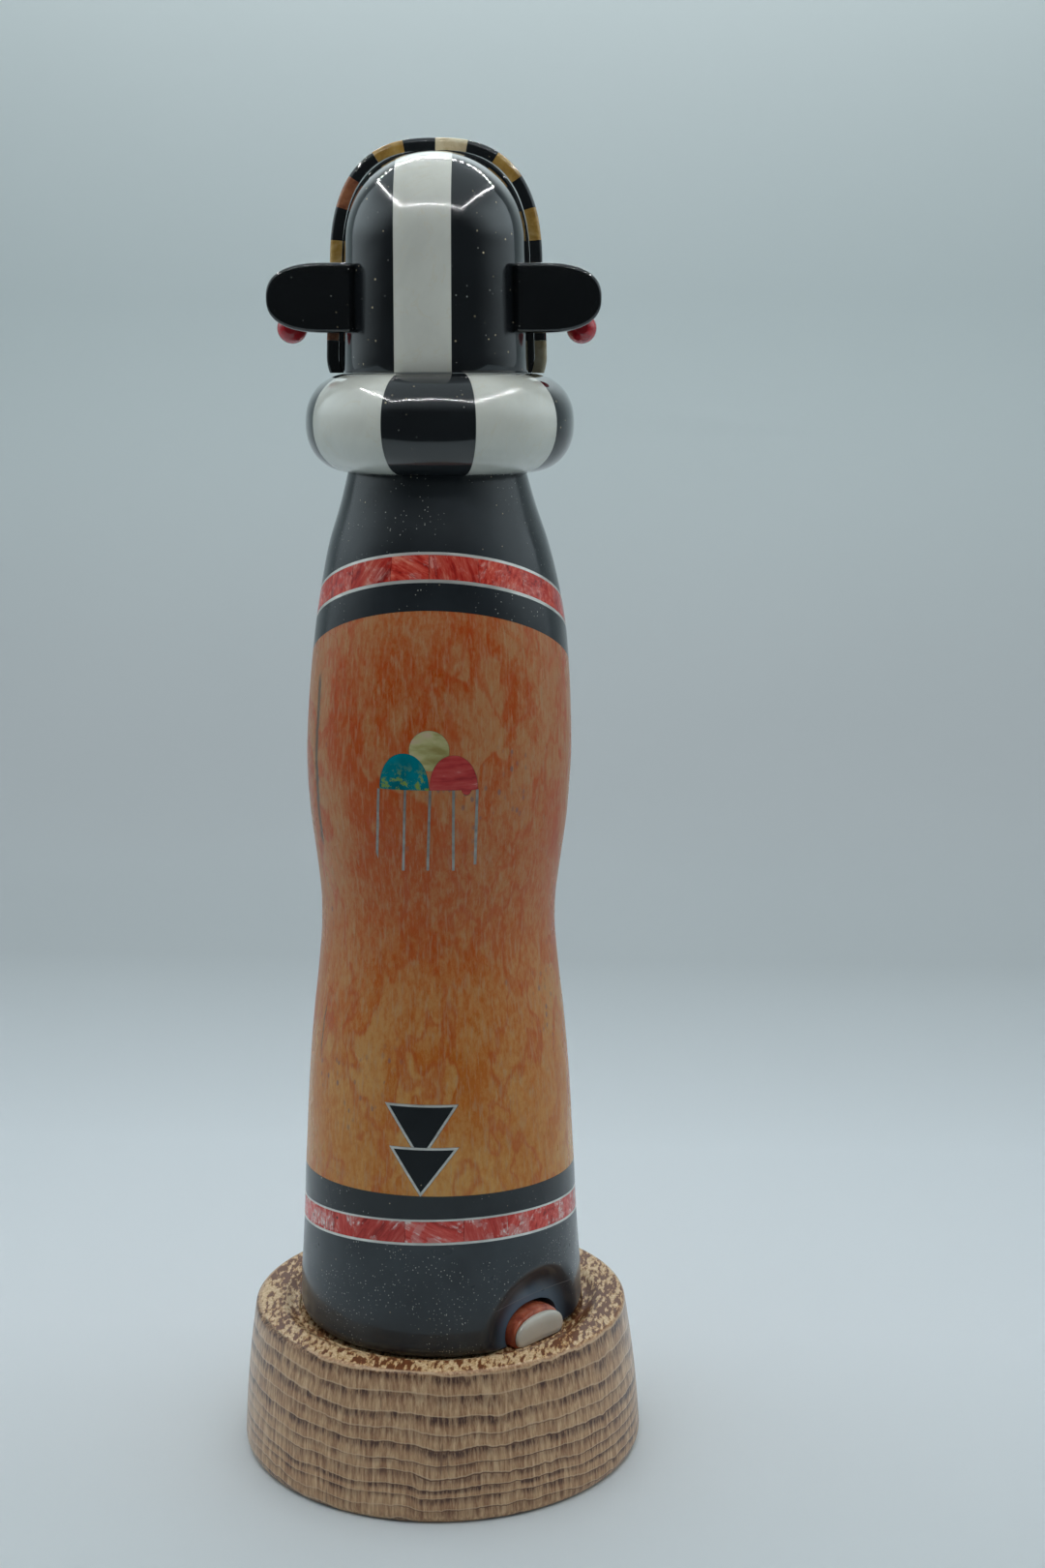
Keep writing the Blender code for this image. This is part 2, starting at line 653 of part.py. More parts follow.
def make_head_back(parent):
    """The domed back of the head: a white slab between two black ones."""
    form = dome_form("dome_form")
    front = (Vector((0.0, FACE_BACK - GAP, 0.0)), Vector((0.0, 1.0, 0.0)))
    left = STRIPE_X - STRIPE_WIDTH / 2
    right = STRIPE_X + STRIPE_WIDTH / 2
    slabs = (
        ("head_back_left", None, left - GAP / 2, "black_stone"),
        ("head_back_stripe", left + GAP / 2, right - GAP / 2, "white_stone"),
        ("head_back_right", right + GAP / 2, None, "black_stone"),
    )
    for name, low, high, material in slabs:
        planes = [front]
        if low is not None:
            planes.append((Vector((low, 0.0, 0.0)), Vector((-1.0, 0.0, 0.0))))
        if high is not None:
            planes.append((Vector((high, 0.0, 0.0)), Vector((1.0, 0.0, 0.0))))
        add_piece(name, slice_of(form, planes), material, parent)


def face_edge(inset=0.0):
    """The face's outline from the lower left, over the arch, to the lower right."""
    half = FACE_HALF_WIDTH - inset
    crown = FACE_HEIGHT - FACE_SPRING - inset
    left = []
    rows = 9
    for i in range(rows):
        share = i / rows
        corner = max(0.0, 1 - share / 0.16)
        swell = FACE_CHEEK * (cos(pi / 2 * share) - 0.65 * corner ** 2)
        left.append((-(half + swell), HEAD_FOOT + FACE_SPRING * share))
    arch = []
    steps = 24
    for i in range(steps + 1):
        x, z = superellipse(pi - pi * i / steps, half, crown, FACE_ARCH_FULLNESS)
        arch.append((x, HEAD_FOOT + FACE_SPRING + z))
    right = [(-x, z) for x, z in reversed(left)]
    return left + arch + right


def lengths_along(path):
    total = [0.0]
    for a, b in zip(path, path[1:]):
        total.append(total[-1] + hypot(b[0] - a[0], b[1] - a[1]))
    return total


def point_along(path, lengths, distance):
    """The place on a path at a distance from its start."""
    i = 0
    while i < len(path) - 2 and distance > lengths[i + 1]:
        i += 1
    share = (distance - lengths[i]) / (lengths[i + 1] - lengths[i])
    return Vector(path[i]).lerp(Vector(path[i + 1]), share)


def frame_along(path, lengths, distance):
    """A place on a path, the direction of the path there and the direction inwards."""
    reach = lengths[-1] * 0.012
    before = point_along(path, lengths, max(distance - reach, 0.0))
    after = point_along(path, lengths, min(distance + reach, lengths[-1]))
    along = (after - before).normalized()
    inward = Vector((along.y, -along.x))
    if not 0.0 < distance < lengths[-1]:
        along = Vector((0.0, 1.0 if distance <= 0.0 else -1.0))
        inward = Vector((along.y, 0.0))
    return point_along(path, lengths, distance), along, inward


def make_face(parent):
    """The face plate, its inlaid eyes and mouth, and the rim of small stones round it."""
    edge = face_edge(RIM_THICKNESS + GAP)
    lower_right = edge[-1]
    lower_left = edge[0]
    steps = 6
    for i in range(1, steps):
        x = lower_right[0] + (lower_left[0] - lower_right[0]) * i / steps
        edge.append((x, lower_left[1]))
    front = FACE_BACK + FACE_THICKNESS
    middle = HEAD_FOOT + FACE_HEIGHT * 0.46

    def face_ring(scale, y, roundness=0.0):
        """The edge drawn in towards the middle, and towards an oval by its roundness."""
        ring = []
        for x, z in edge:
            across = x * scale
            up = (z - middle) * scale
            turn = atan2(up, across)
            oval_x = FACE_HALF_WIDTH * scale * 0.86 * cos(turn)
            oval_z = FACE_HEIGHT / 2 * scale * 0.86 * sin(turn)
            blend_x = across + (oval_x - across) * roundness
            blend_z = up + (oval_z - up) * roundness
            ring.append((blend_x, y, middle + blend_z))
        return ring

    rings = [
        face_ring(1.0, FACE_BACK),
        face_ring(1.0, front - 0.8 * MM),
        face_ring(0.975, front),
    ]
    for scale, roundness in ((0.84, 0.35), (0.64, 0.75), (0.4, 1.0), (0.16, 1.0)):
        rings.append(face_ring(scale, front + FACE_BULGE * sqrt(1 - scale ** 2), roundness))
    plate = add_piece("face_plate", loft(rings), "black_stone", parent)
    form = add_guide("face_form", plate.data.copy())
    form.parent = parent
    for name, x in (("eye_left", -EYE_SPACING / 2), ("eye_right", EYE_SPACING / 2)):
        add_face_inlay(name, x, EYE_RISE, EYE_WIDTH, EYE_HEIGHT, "white_stone", form, plate, parent)
    add_face_inlay("mouth", 0.0, MOUTH_RISE, MOUTH_WIDTH, MOUTH_HEIGHT, "red_stone", form, plate, parent)
    make_rim(parent)


def add_face_inlay(name, x, rise, width, height, material, form, plate, parent):
    """A small oblong stone let into the front of the face."""

    def oblong(grow):
        w = width / 2 + grow
        h = height / 2 + grow
        z = HEAD_FOOT + rise
        return [(x - w, z - h), (x + w, z - h), (x + w, z + h), (x - w, z + h)]

    face_y = FACE_BACK + FACE_THICKNESS + FACE_BULGE / 2
    inlay(name, oblong(0.0), oblong(GAP), material, form, plate, FACE_INLAY_DEPTH, face_y, parent)


def make_rim(parent):
    """Equal lengths of stone along the face's edge, in black and warm colours by turns."""
    outer = face_edge()
    lengths = lengths_along(outer)
    colours = (
        "black_stone", "apricot_stone", "black_stone", "gold_stone", "black_stone", "apricot_stone",
        "black_stone", "gold_stone", "black_stone", "cream_stone", "black_stone", "gold_stone",
        "black_stone", "cream_stone", "black_stone", "gold_stone", "black_stone", "cream_stone",
    )
    back = FACE_BACK
    front = FACE_BACK + FACE_THICKNESS
    section = (
        (RIM_CHAMFER, back), (0.0, back + RIM_CHAMFER), (0.0, front - RIM_CHAMFER),
        (RIM_CHAMFER, front), (RIM_THICKNESS, front), (RIM_THICKNESS, back),
    )
    steps = 3
    for number in range(RIM_COUNT):
        rings = []
        for i in range(steps + 1):
            distance = lengths[-1] * (number + i / steps) / RIM_COUNT
            place, along, inward = frame_along(outer, lengths, distance)
            if i == 0 and number > 0:
                place = place + along * GAP / 2
            if i == steps and number < RIM_COUNT - 1:
                place = place - along * GAP / 2
            ring = []
            for depth, y in section:
                spot = place + inward * depth
                ring.append((spot.x, y, spot.y))
            rings.append(ring)
        name = "rim_stone_%02d" % (number + 1)
        add_piece(name, loft(rings), colours[number % len(colours)], parent)


def make_ears(parent):
    """Tongue-shaped ears on the sides of the dome, with a bead in front of each."""
    clearance = dome_form("dome_clearance", GAP)
    clearance.parent = parent
    middle = HEAD_FOOT + EAR_MIDDLE
    inner = DOME_RADIUS - EAR_LAP
    start = EAR_REACH - EAR_ROUND_LENGTH
    steps = 12
    half = EAR_HEIGHT / 2
    for side, sign in (("left", -1), ("right", 1)):
        outline = []
        for i in range(steps + 1):
            x, z = superellipse(pi / 2 - pi * i / steps, EAR_ROUND_LENGTH, half, EAR_FULLNESS)
            outline.append((sign * (start + x), middle + z))
        corner = 2 * EAR_EDGE
        outline.append((sign * (inner + corner), middle - half))
        outline.append((sign * inner, middle - half + corner))
        outline.append((sign * inner, middle + half - corner))
        outline.append((sign * (inner + corner), middle + half))
        ear = add_piece("ear_" + side, prism(outline, -EAR_BACK, EAR_FRONT), "black_stone", parent)
        edge = ear.modifiers.new("edge", "BEVEL")
        edge.width = EAR_EDGE
        edge.segments = 2
        edge.limit_method = "ANGLE"
        edge.angle_limit = radians(40)
        add_boolean(ear, clearance, "DIFFERENCE")

        def ball(bm):
            bmesh.ops.create_uvsphere(bm, u_segments=16, v_segments=10, radius=BEAD_RADIUS)

        bead = add_piece("ear_bead_" + side, mesh_from(ball), "coral_bead", parent)
        bead_y = EAR_FRONT + GAP + BEAD_RADIUS
        bead.location = (sign * (EAR_REACH - BEAD_INSET), bead_y, middle - half + BEAD_RISE)


clear_scene()
FIGURE = make_collection("gemstone_kachina")
GUIDES = make_collection("guides")
make_base()
body_form, body_pieces = make_body()
make_feet(body_pieces["skirt"])
make_clouds(body_form, body_pieces["robe"])
make_triangles(body_form, body_pieces["robe"])
make_ruff()
head = bpy.data.objects.new("head", None)
FIGURE.objects.link(head)
head.rotation_euler.z = HEAD_TURN
make_head_back(head)
make_face(head)
make_ears(head)
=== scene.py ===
# %% [markdown]
# # Gemstone kachina
#
# A carved figure of cut stone on a turned oak base. Its body is one turned form made of layers
# of stone, ground flush, with small inlays in its back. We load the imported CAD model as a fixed
# frame first, because every piece that we make has to sit exactly where the CAD says.

# %% Load the frame
import json
from math import atan2, cos, hypot, pi, radians, sin, sqrt, tan

import bmesh
import bpy
from mathutils import Matrix, Vector

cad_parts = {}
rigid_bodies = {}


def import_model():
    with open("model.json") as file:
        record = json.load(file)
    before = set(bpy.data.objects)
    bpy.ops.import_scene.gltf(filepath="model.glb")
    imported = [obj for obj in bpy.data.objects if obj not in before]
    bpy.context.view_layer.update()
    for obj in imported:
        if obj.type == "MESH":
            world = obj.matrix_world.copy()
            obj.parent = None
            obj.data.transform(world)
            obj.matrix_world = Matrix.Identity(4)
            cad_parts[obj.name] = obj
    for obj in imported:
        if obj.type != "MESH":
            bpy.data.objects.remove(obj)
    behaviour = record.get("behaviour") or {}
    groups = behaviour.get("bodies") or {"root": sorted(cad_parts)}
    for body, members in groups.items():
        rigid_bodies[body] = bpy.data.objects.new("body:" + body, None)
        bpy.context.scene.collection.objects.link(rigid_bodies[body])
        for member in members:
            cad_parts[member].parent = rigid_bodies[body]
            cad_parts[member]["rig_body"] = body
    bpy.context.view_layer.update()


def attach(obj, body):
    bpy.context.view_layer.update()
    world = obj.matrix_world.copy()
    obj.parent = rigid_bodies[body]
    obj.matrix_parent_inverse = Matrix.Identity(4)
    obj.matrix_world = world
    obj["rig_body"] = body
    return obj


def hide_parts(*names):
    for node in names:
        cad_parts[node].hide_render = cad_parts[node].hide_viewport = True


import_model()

MM = 0.001

# %% [markdown]
# ## From a bmesh to a piece
#
# A piece is finished once its faces point outwards, it has a material, it hangs on the root body
# and the CAD nodes it stands for are hidden. We could repeat those lines for each piece, but one
# helper keeps them the same everywhere. Smooth shading with sharp edges above an angle keeps ground
# edges crisp.

# %% Helpers that make meshes, objects and pieces
def to_mesh(name, bm):
    """Empty a bmesh into a new mesh."""
    mesh = bpy.data.meshes.new(name)
    bm.to_mesh(mesh)
    bm.free()
    return mesh


def copy_of(mesh):
    """A new bmesh that holds a copy of a mesh."""
    bm = bmesh.new()
    bm.from_mesh(mesh)
    return bm


def link(name, data):
    """A new object in the scene."""
    thing = bpy.data.objects.new(name, data)
    bpy.context.scene.collection.objects.link(thing)
    return thing


def turn_about_axis(bm, angle, axis="Z"):
    bmesh.ops.rotate(bm, verts=bm.verts, cent=(0, 0, 0), matrix=Matrix.Rotation(angle, 3, axis))


def hand_over(name, bm, finish, slot, nodes, sharp=35.0, turn=0.0):
    """Make a bmesh one piece of the figure that stands for its CAD nodes."""
    if turn:
        turn_about_axis(bm, turn)
    bmesh.ops.recalc_face_normals(bm, faces=bm.faces)
    mesh = to_mesh(name, bm)
    mesh.materials.append(finish)
    mesh.shade_smooth()
    mesh.set_sharp_from_angle(angle=radians(sharp))
    piece = link(name, mesh)
    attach(piece, "root")
    if nodes:
        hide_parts(*nodes)
    print(f"{name}: {len(mesh.polygons)} faces")
    return piece


# %% [markdown]
# ## Node helpers
#
# Each finish is a small node tree that feeds one Principled shader. The helpers add a node, set
# its sockets and wire it in one call, so that a material reads like a recipe. A socket knows the
# tree that it is in, so only the first nodes of a recipe have to be told where they go. All
# patterns read Object coordinates, because every piece sits at the origin and the stone must
# not slide.

# %% Helpers that add and wire nodes
def start_finish(name, **constants):
    """A new material with its shader's constant sockets set."""
    material = bpy.data.materials.new(name)
    material.use_nodes = True
    shader = material.node_tree.nodes["Principled BSDF"]
    for socket, value in constants.items():
        shader.inputs[socket.replace("_", " ")].default_value = value
    return material, shader


def put(kind, sockets, tree=None, **settings):
    """Add one node, with its settings, its socket values and its incoming links."""
    if tree is None:
        tree = next(v for v in sockets.values() if isinstance(v, bpy.types.NodeSocket)).id_data
    node = tree.nodes.new("ShaderNode" + kind)
    for key, value in settings.items():
        setattr(node, key, value)
    for key, value in sockets.items():
        if isinstance(value, bpy.types.NodeSocket):
            tree.links.new(value, node.inputs[key])
        else:
            node.inputs[key].default_value = value
    return node


def wire(shader, **sockets):
    for name, value in sockets.items():
        shader.id_data.links.new(value, shader.inputs[name.replace("_", " ")])


# %% Helpers that read places
def coordinates(shader, scale=(1, 1, 1), turn=(0, 0, 0), move=(0, 0, 0)):
    """Object coordinates, moved, turned and stretched."""
    place = put("TexCoord", {}, shader.id_data).outputs["Object"]
    sockets = {"Vector": place, "Scale": scale, "Rotation": turn, "Location": move}
    return put("Mapping", sockets).outputs[0]


def tall(shader, squeeze):
    """Object coordinates squeezed in height, which draws a pattern out upright."""
    return coordinates(shader, (1.0, 1.0, squeeze))


def axes_of(vector):
    return put("SeparateXYZ", {0: vector}).outputs


def length_of(vector):
    return put("VectorMath", {0: vector}, operation="LENGTH").outputs["Value"]


# %% Helpers that calculate
def maths(operation, first, *others):
    """A Math node, or a chain of them that works in more values one by one."""
    for other in others or (0.0,):
        first = put("Math", {0: first, 1: other}, operation=operation).outputs[0]
    return first


def times(*values):
    return maths("MULTIPLY", *values)


def plus(*values):
    return maths("ADD", *values)


def minus(a, b):
    return maths("SUBTRACT", a, b)


def off(value, middle):
    """How far a value is from a middle, either way."""
    return maths("ABSOLUTE", minus(value, middle))


def fade(value, low, high, start=0.0, end=1.0):
    """Map a value smoothly from low..high to start..end."""
    sockets = {"Value": value, "From Min": low, "From Max": high, "To Min": start, "To Max": end}
    return put("MapRange", sockets, interpolation_type="SMOOTHSTEP").outputs[0]


# %% Helpers for patterns, colours and relief
def cloudy(vector, scale, detail=4.0, roughness=0.55, distortion=0.0):
    """Soft noise from 0 to 1."""
    sockets = {"Vector": vector, "Scale": scale, "Detail": detail, "Roughness": roughness}
    return put("TexNoise", {**sockets, "Distortion": distortion}).outputs["Fac"]


def colours(value, *stops):
    """A colour ramp from (place, (r, g, b)) stops."""
    node = put("ValToRGB", {0: value})
    ramp = node.color_ramp
    while len(ramp.elements) < len(stops):
        ramp.elements.new(0.5)
    for element, (place, colour) in zip(ramp.elements, stops):
        element.position = place
        element.color = (*colour, 1.0)
    return node.outputs[0]


def layer(share, below, above):
    """Lay one colour over another by a share."""
    pair = [(*c, 1.0) if isinstance(c, tuple) else c for c in (below, above)]
    return put("Mix", {0: share, 6: pair[0], 7: pair[1]}, data_type="RGBA").outputs[2]


def tinted(colour, factor):
    return tuple(c * factor for c in colour)


def relief(shader, height, depth, strength):
    """Fine relief on the shader from a height."""
    bump = put("Bump", {"Height": height, "Distance": depth, "Strength": strength})
    wire(shader, Normal=bump.outputs[0])


def polished(shader, place, scale, depth):
    """Slow waves from hand polishing, under the coat and in it."""
    waves = put("Bump", {"Height": cloudy(place, scale, 1.5), "Distance": depth, "Strength": 0.5})
    wire(shader, Normal=waves.outputs[0], Coat_Normal=waves.outputs[0])


# %% [markdown]
# ## Black stone
#
# The black layers are a polished dark stone with tiny pale and golden flecks, thickest in loose
# clusters. A Voronoi cell pattern gives one fleck per cell, a noise mask keeps most cells bare,
# and a faint cloud in the roughness breaks the gloss as hand polishing does.

# %% Black stone finish
def flecks(vector, scale, size, bare, crowd_scale, crowd):
    """Small round flecks: 1 on a fleck, 0 elsewhere, gathered where the crowd noise is high."""
    cell = put("TexVoronoi", {"Vector": vector, "Scale": scale, "Randomness": 1.0})
    dot = fade(cell.outputs["Distance"], size, size * 0.55)
    picked = put("SeparateColor", {0: cell.outputs["Color"]}).outputs
    kept = maths("GREATER_THAN", picked[0], bare)
    gathered = fade(cloudy(vector, crowd_scale, 2.0), crowd, crowd + 0.1)
    return times(dot, kept, gathered, fade(picked[1], 0.0, 1.0, 0.25, 1.0))


def black_stone(name, dust, grit, rough, tone, coat, ior=1.54):
    """Dust and grit are (scale, size, share of bare cells) of the fine and the coarse flecks."""
    material, shader = start_finish(name, Coat_Weight=coat, Coat_Roughness=0.08, IOR=ior)
    place = coordinates(shader)
    body = colours(
        cloudy(place, 55.0, 5.0),
        (0.3, tinted((0.009, 0.011, 0.013), tone)), (0.75, tinted((0.019, 0.023, 0.027), tone)),
    )
    pale = flecks(place, *dust, 80.0, 0.46)
    gold = flecks(coordinates(shader, move=(0.013, 0.004, 0.008)), *grit, 60.0, 0.36)
    speckled = layer(gold, layer(pale, body, (0.58, 0.58, 0.52)), (0.62, 0.52, 0.34))
    smudge = fade(cloudy(place, 90.0, 3.0), 0.3, 0.7, rough - 0.03, rough + 0.07)
    wire(shader, Base_Color=speckled, Roughness=smudge)
    polished(shader, place, 110.0, 0.0002)
    return material


SKIRT_BLACK, BODY_BLACK, HEAD_BLACK, EAR_BLACK, INLAY_BLACK = (
    black_stone(f"black_{where}_stone", *looks) for where, *looks in (
        ("skirt", (1700.0, 0.25, 0.45), (760.0, 0.13, 0.86), 0.3, 2.9, 0.4, 1.33),
        ("body", (1700.0, 0.25, 0.8), (760.0, 0.14, 0.9), 0.2, 1.45, 0.2, 1.42),
        ("head", (1300.0, 0.24, 0.93), (420.0, 0.12, 0.3), 0.1, 0.65, 0.75),
        ("ear", (1300.0, 0.2, 0.97), (420.0, 0.1, 0.72), 0.1, 0.35, 0.7),
        ("inlay", (1500.0, 0.16, 0.96), (800.0, 0.13, 0.95), 0.3, 0.8, 0.0, 1.33),
    )
)

# %% [markdown]
# ## White stone
#
# The white wedges, the stripe and the soles are a milky stone. It is nearly plain, so what makes
# it stone and not plastic is a faint cool clouding, a few warm threads and a hard gloss.

# %% White stone finish
def white_stone(name, tint):
    material, shader = start_finish(name, Coat_Weight=1.0, Coat_Roughness=0.1, Roughness=0.2)
    place = coordinates(shader)
    milk = colours(
        cloudy(place, 42.0, 5.0, 0.6, 0.8),
        (0.25, tinted(tint, 0.87)), (0.55, tint), (0.8, tinted(tint, 1.07)),
    )
    thread = fade(off(cloudy(place, 60.0, 4.0, 0.6, 1.5), 0.5), 0.012, 0.0, 0.0, 0.35)
    warm = tuple(c * f for c, f in zip(tint, (0.93, 0.86, 0.74)))
    wire(shader, Base_Color=layer(thread, milk, warm))
    polished(shader, place, 120.0, 0.0003)
    return material


WHITE = white_stone("white_head_stone", (0.71, 0.715, 0.645))
SOLE_WHITE = white_stone("white_sole_stone", (0.74, 0.685, 0.59))

# %% [markdown]
# ## Orange robe stone
#
# The robe is one tall piece of orange jasper-like stone, marbled like wood: fine upright streaks,
# red-orange veins that wander in flames, golden patches lower down and grey-violet specks along
# some veins. Warping the coordinates with a noise before the vein noise makes the veins swirl.
# A saw-tooth of that noise gives each flame one soft side and one sharp, redder edge.

# %% Helpers for swirls, veins and cracks
def swirled(vector, scale, amount):
    """Coordinates pushed about by a broad noise."""
    push = put("TexNoise", {"Vector": vector, "Scale": scale, "Detail": 3.0, "Roughness": 0.5})
    middle = put("VectorMath", {0: push.outputs["Color"], 1: (0.5, 0.5, 0.5)}, operation="SUBTRACT")
    longer = put("VectorMath", {0: middle.outputs[0], "Scale": amount}, operation="SCALE")
    return put("VectorMath", {0: vector, 1: longer.outputs[0]}, operation="ADD").outputs[0]


def vein_lines(vector, scale, width, detail=4.0):
    """Thin lines where a noise crosses its middle."""
    return fade(off(cloudy(vector, scale, detail, 0.5), 0.5), width, 0.0)


def hairline(axes, wave, bearing, lean, low, high, width):
    """A thin upright crack at a bearing from the back, in radians, between two heights."""
    angle = maths("ARCTAN2", axes[0], times(axes[1], -1.0))
    path = plus(times(minus(wave, 0.5), 0.12), times(minus(axes[2], low), lean))
    line = fade(off(minus(angle, bearing), path), width, width * 0.3)
    ends = times(fade(axes[2], low, low + 0.003), fade(axes[2], high, high - 0.003))
    return times(line, ends)


# %% Flames of the robe
def robe_flames(shader, height, upright, streak):
    """Flames between a deep and a pale tone, both redder higher up, and the flames' sharp edges."""
    rise = fade(height, 0.07, 0.185)
    deep = colours(
        rise, (0.0, (0.55, 0.165, 0.020)), (0.45, (0.51, 0.098, 0.011)), (1.0, (0.47, 0.074, 0.007))
    )
    pale = colours(
        rise, (0.0, (0.66, 0.330, 0.095)), (0.45, (0.56, 0.250, 0.090)), (1.0, (0.50, 0.220, 0.090))
    )
    bands = maths("FRACT", times(cloudy(swirled(upright, 26.0, 0.034), 27.0, 4.0, 0.5), 8.0))
    flame = times(fade(bands, 0.0, 0.55), fade(bands, 1.0, 0.84))
    shown = fade(cloudy(coordinates(shader, move=(0.02, 0, 0.01)), 30.0, 2.0), 0.35, 0.6)
    broad = fade(cloudy(swirled(upright, 40.0, 0.016), 38.0, 4.0), 0.34, 0.66)
    grit = cloudy(coordinates(shader, (1.0, 1.0, 0.5), (0.0, 0.3, 0.0)), 900.0, 4.0, 0.7)
    light = plus(
        times(layer(shown, (0.55, 0.55, 0.55), flame), 0.66), times(broad, 0.34),
        fade(grit, 0.3, 0.7, -0.38, 0.32), fade(streak, 0.3, 0.7, -0.14, 0.06),
    )
    stone = layer(maths("MINIMUM", maths("MAXIMUM", light, 0.0), 1.0), deep, pale)
    return stone, times(fade(off(bands, 0.95), 0.07, 0.0), shown)


# %% Robe stone finish
def robe_stone():
    material, shader = start_finish(
        "orange_robe_stone", Coat_Weight=0.1, Coat_Roughness=0.08, IOR=1.36
    )
    axes = axes_of(coordinates(shader))
    upright = tall(shader, 0.5)
    streak = cloudy(tall(shader, 0.09), 640.0, 4.0, 0.6, 0.3)
    stone, flame_edges = robe_flames(shader, axes[2], upright, streak)

    # red veins and flame edges, pale fibres and grey-violet specks
    veins = vein_lines(swirled(upright, 55.0, 0.014), 62.0, 0.03)
    stone = layer(times(maths("MAXIMUM", veins, flame_edges), 0.5), stone, (0.48, 0.060, 0.008))
    fibres = cloudy(tall(shader, 0.12), 1500.0, 3.0, 0.65)
    stone = layer(fade(fibres, 0.50, 0.66, 0.0, 0.34), stone, (0.52, 0.36, 0.21))
    specks = flecks(tall(shader, 0.6), 700.0, 0.36, 0.5, 34.0, 0.54)
    stone = layer(times(specks, 0.75), stone, (0.20, 0.13, 0.13))

    # a long and a short hairline crack on the left
    wave = cloudy(coordinates(shader, (0.0, 0.0, 1.0)), 60.0, 6.0, 0.7)
    long_crack = hairline(axes, wave, -1.05, 0.3, 0.147, 0.188, 0.036)
    short_crack = hairline(axes, wave, -1.06, 3.0, 0.098, 0.112, 0.012)
    cracks = maths("MAXIMUM", long_crack, short_crack)
    stone = layer(times(cracks, 0.85), stone, (0.10, 0.095, 0.07))
    smudge = fade(cloudy(upright, 120.0, 3.0), 0.3, 0.7, 0.24, 0.36)
    wire(shader, Base_Color=stone, Roughness=smudge)
    relief(shader, minus(streak, cracks), 0.00004, 0.35)
    return material


ROBE_STONE = robe_stone()

# %% [markdown]
# ## Red band stones
#
# Each red band is a ring of short stones, cut from a red shell or stone with pale streaks. Every
# stone was cut at its own slant, so each carries a number from 0 to 1 in an attribute, and the
# material uses it to shift, turn and tint the same streak pattern.

# %% Red stone finish
def red_stone(name, tones, pale, pale_share, pit_share):
    """Four tones from dark to light, the tone of the pale streaks, and how much they and pits show."""
    material, shader = start_finish(
        name, Coat_Weight=0.06, Coat_Roughness=0.08, Roughness=0.2, IOR=1.36
    )
    seed = put("Attribute", {}, shader.id_data, attribute_name="stone").outputs["Fac"]
    place = coordinates(shader)
    jump = put("CombineXYZ", {0: times(seed, 0.7), 2: times(seed, 0.3)}).outputs[0]
    moved = put("VectorMath", {0: place, 1: jump}, operation="ADD").outputs[0]
    lean = times(minus(maths("FRACT", times(seed, 7.0)), 0.5), 2.6)
    sockets = {"Vector": moved, "Axis": (0, 1, 0), "Angle": lean}
    slant = put("VectorRotate", sockets, rotation_type="AXIS_ANGLE").outputs[0]
    long_grain = put("Mapping", {"Vector": slant, "Scale": (1.0, 1.0, 0.12)}).outputs[0]
    drawn = swirled(long_grain, 110.0, 0.003)
    fine = cloudy(drawn, 1250.0, 4.0, 0.65)
    medium = cloudy(drawn, 430.0, 4.0, 0.6)
    grain = plus(times(fine, 0.5), times(medium, 0.5))
    body = colours(grain, *zip((0.37, 0.46, 0.56, 0.65), tones))
    stone = layer(fade(seed, 0.0, 1.0, 0.0, 0.35), body, tones[0])
    cloud = fade(cloudy(swirled(moved, 160.0, 0.006), 260.0, 4.0, 0.6), 0.50, 0.60)
    ridges = maths("MAXIMUM", vein_lines(drawn, 520.0, 0.03, 3.0), fade(fine, 0.50, 0.64), 0.25)
    stone = layer(times(ridges, cloud, pale_share), stone, pale)
    pits = flecks(place, 600.0, 0.34, 0.86, 60.0, 0.5)
    wire(shader, Base_Color=layer(times(pits, pit_share), stone, (0.02, 0.006, 0.008)))
    relief(shader, fine, 0.00004, 0.3)
    return material


COLLAR_RED = red_stone(
    "red_collar_stone",
    ((0.26, 0.014, 0.012), (0.60, 0.038, 0.024), (0.74, 0.115, 0.075), (0.84, 0.28, 0.19)),
    (0.76, 0.46, 0.40), 0.5, 0.3,
)
HEM_RED = red_stone(
    "red_hem_stone",
    ((0.30, 0.022, 0.018), (0.66, 0.056, 0.043), (0.78, 0.120, 0.095), (0.82, 0.32, 0.28)),
    (0.86, 0.70, 0.66), 1.0, 1.0,
)

# %% [markdown]
# ## Silver, turquoise, pearl shell and the warm rim stones
#
# The small finishes follow one recipe: a cloudy ground in the stone's own colours, one pattern
# that makes it that stone, and the right gloss. Silver is the only metal, so it alone gets a
# metallic shader, with fine drawn scratches.

# %% Silver finish
def silver(name, dull, bright):
    material, shader = start_finish(name, Metallic=0.85)
    place = tall(shader, 4.0)
    scratch = cloudy(place, 1600.0, 3.0, 0.7)
    wire(
        shader, Base_Color=colours(cloudy(place, 160.0, 5.0), (0.3, dull), (0.7, bright)),
        Roughness=fade(scratch, 0.3, 0.7, 0.3, 0.5),
    )
    relief(shader, scratch, 0.00002, 0.3)
    return material


SILVER = silver("silver_strip", (0.60, 0.585, 0.55), (0.90, 0.88, 0.83))
WIRE_SILVER = silver("silver_wire", (0.27, 0.265, 0.25), (0.46, 0.455, 0.43))

# %% Finishes of the cloud stones
def turquoise():
    material, shader = start_finish("turquoise_cloud", IOR=1.22, Roughness=0.22)
    place = coordinates(shader)
    ground = colours(cloudy(place, 260.0, 5.0), (0.3, (0.0, 0.13, 0.16)), (0.7, (0.0, 0.22, 0.27)))
    low = fade(axes_of(place)[2], 0.1705, 0.1640)
    spots = fade(cloudy(place, 620.0, 4.0, 0.7), 0.60, 0.50)
    matrix = times(minus(1.0, spots), low, 0.9)
    wire(shader, Base_Color=layer(matrix, ground, (0.26, 0.36, 0.05)))
    return material


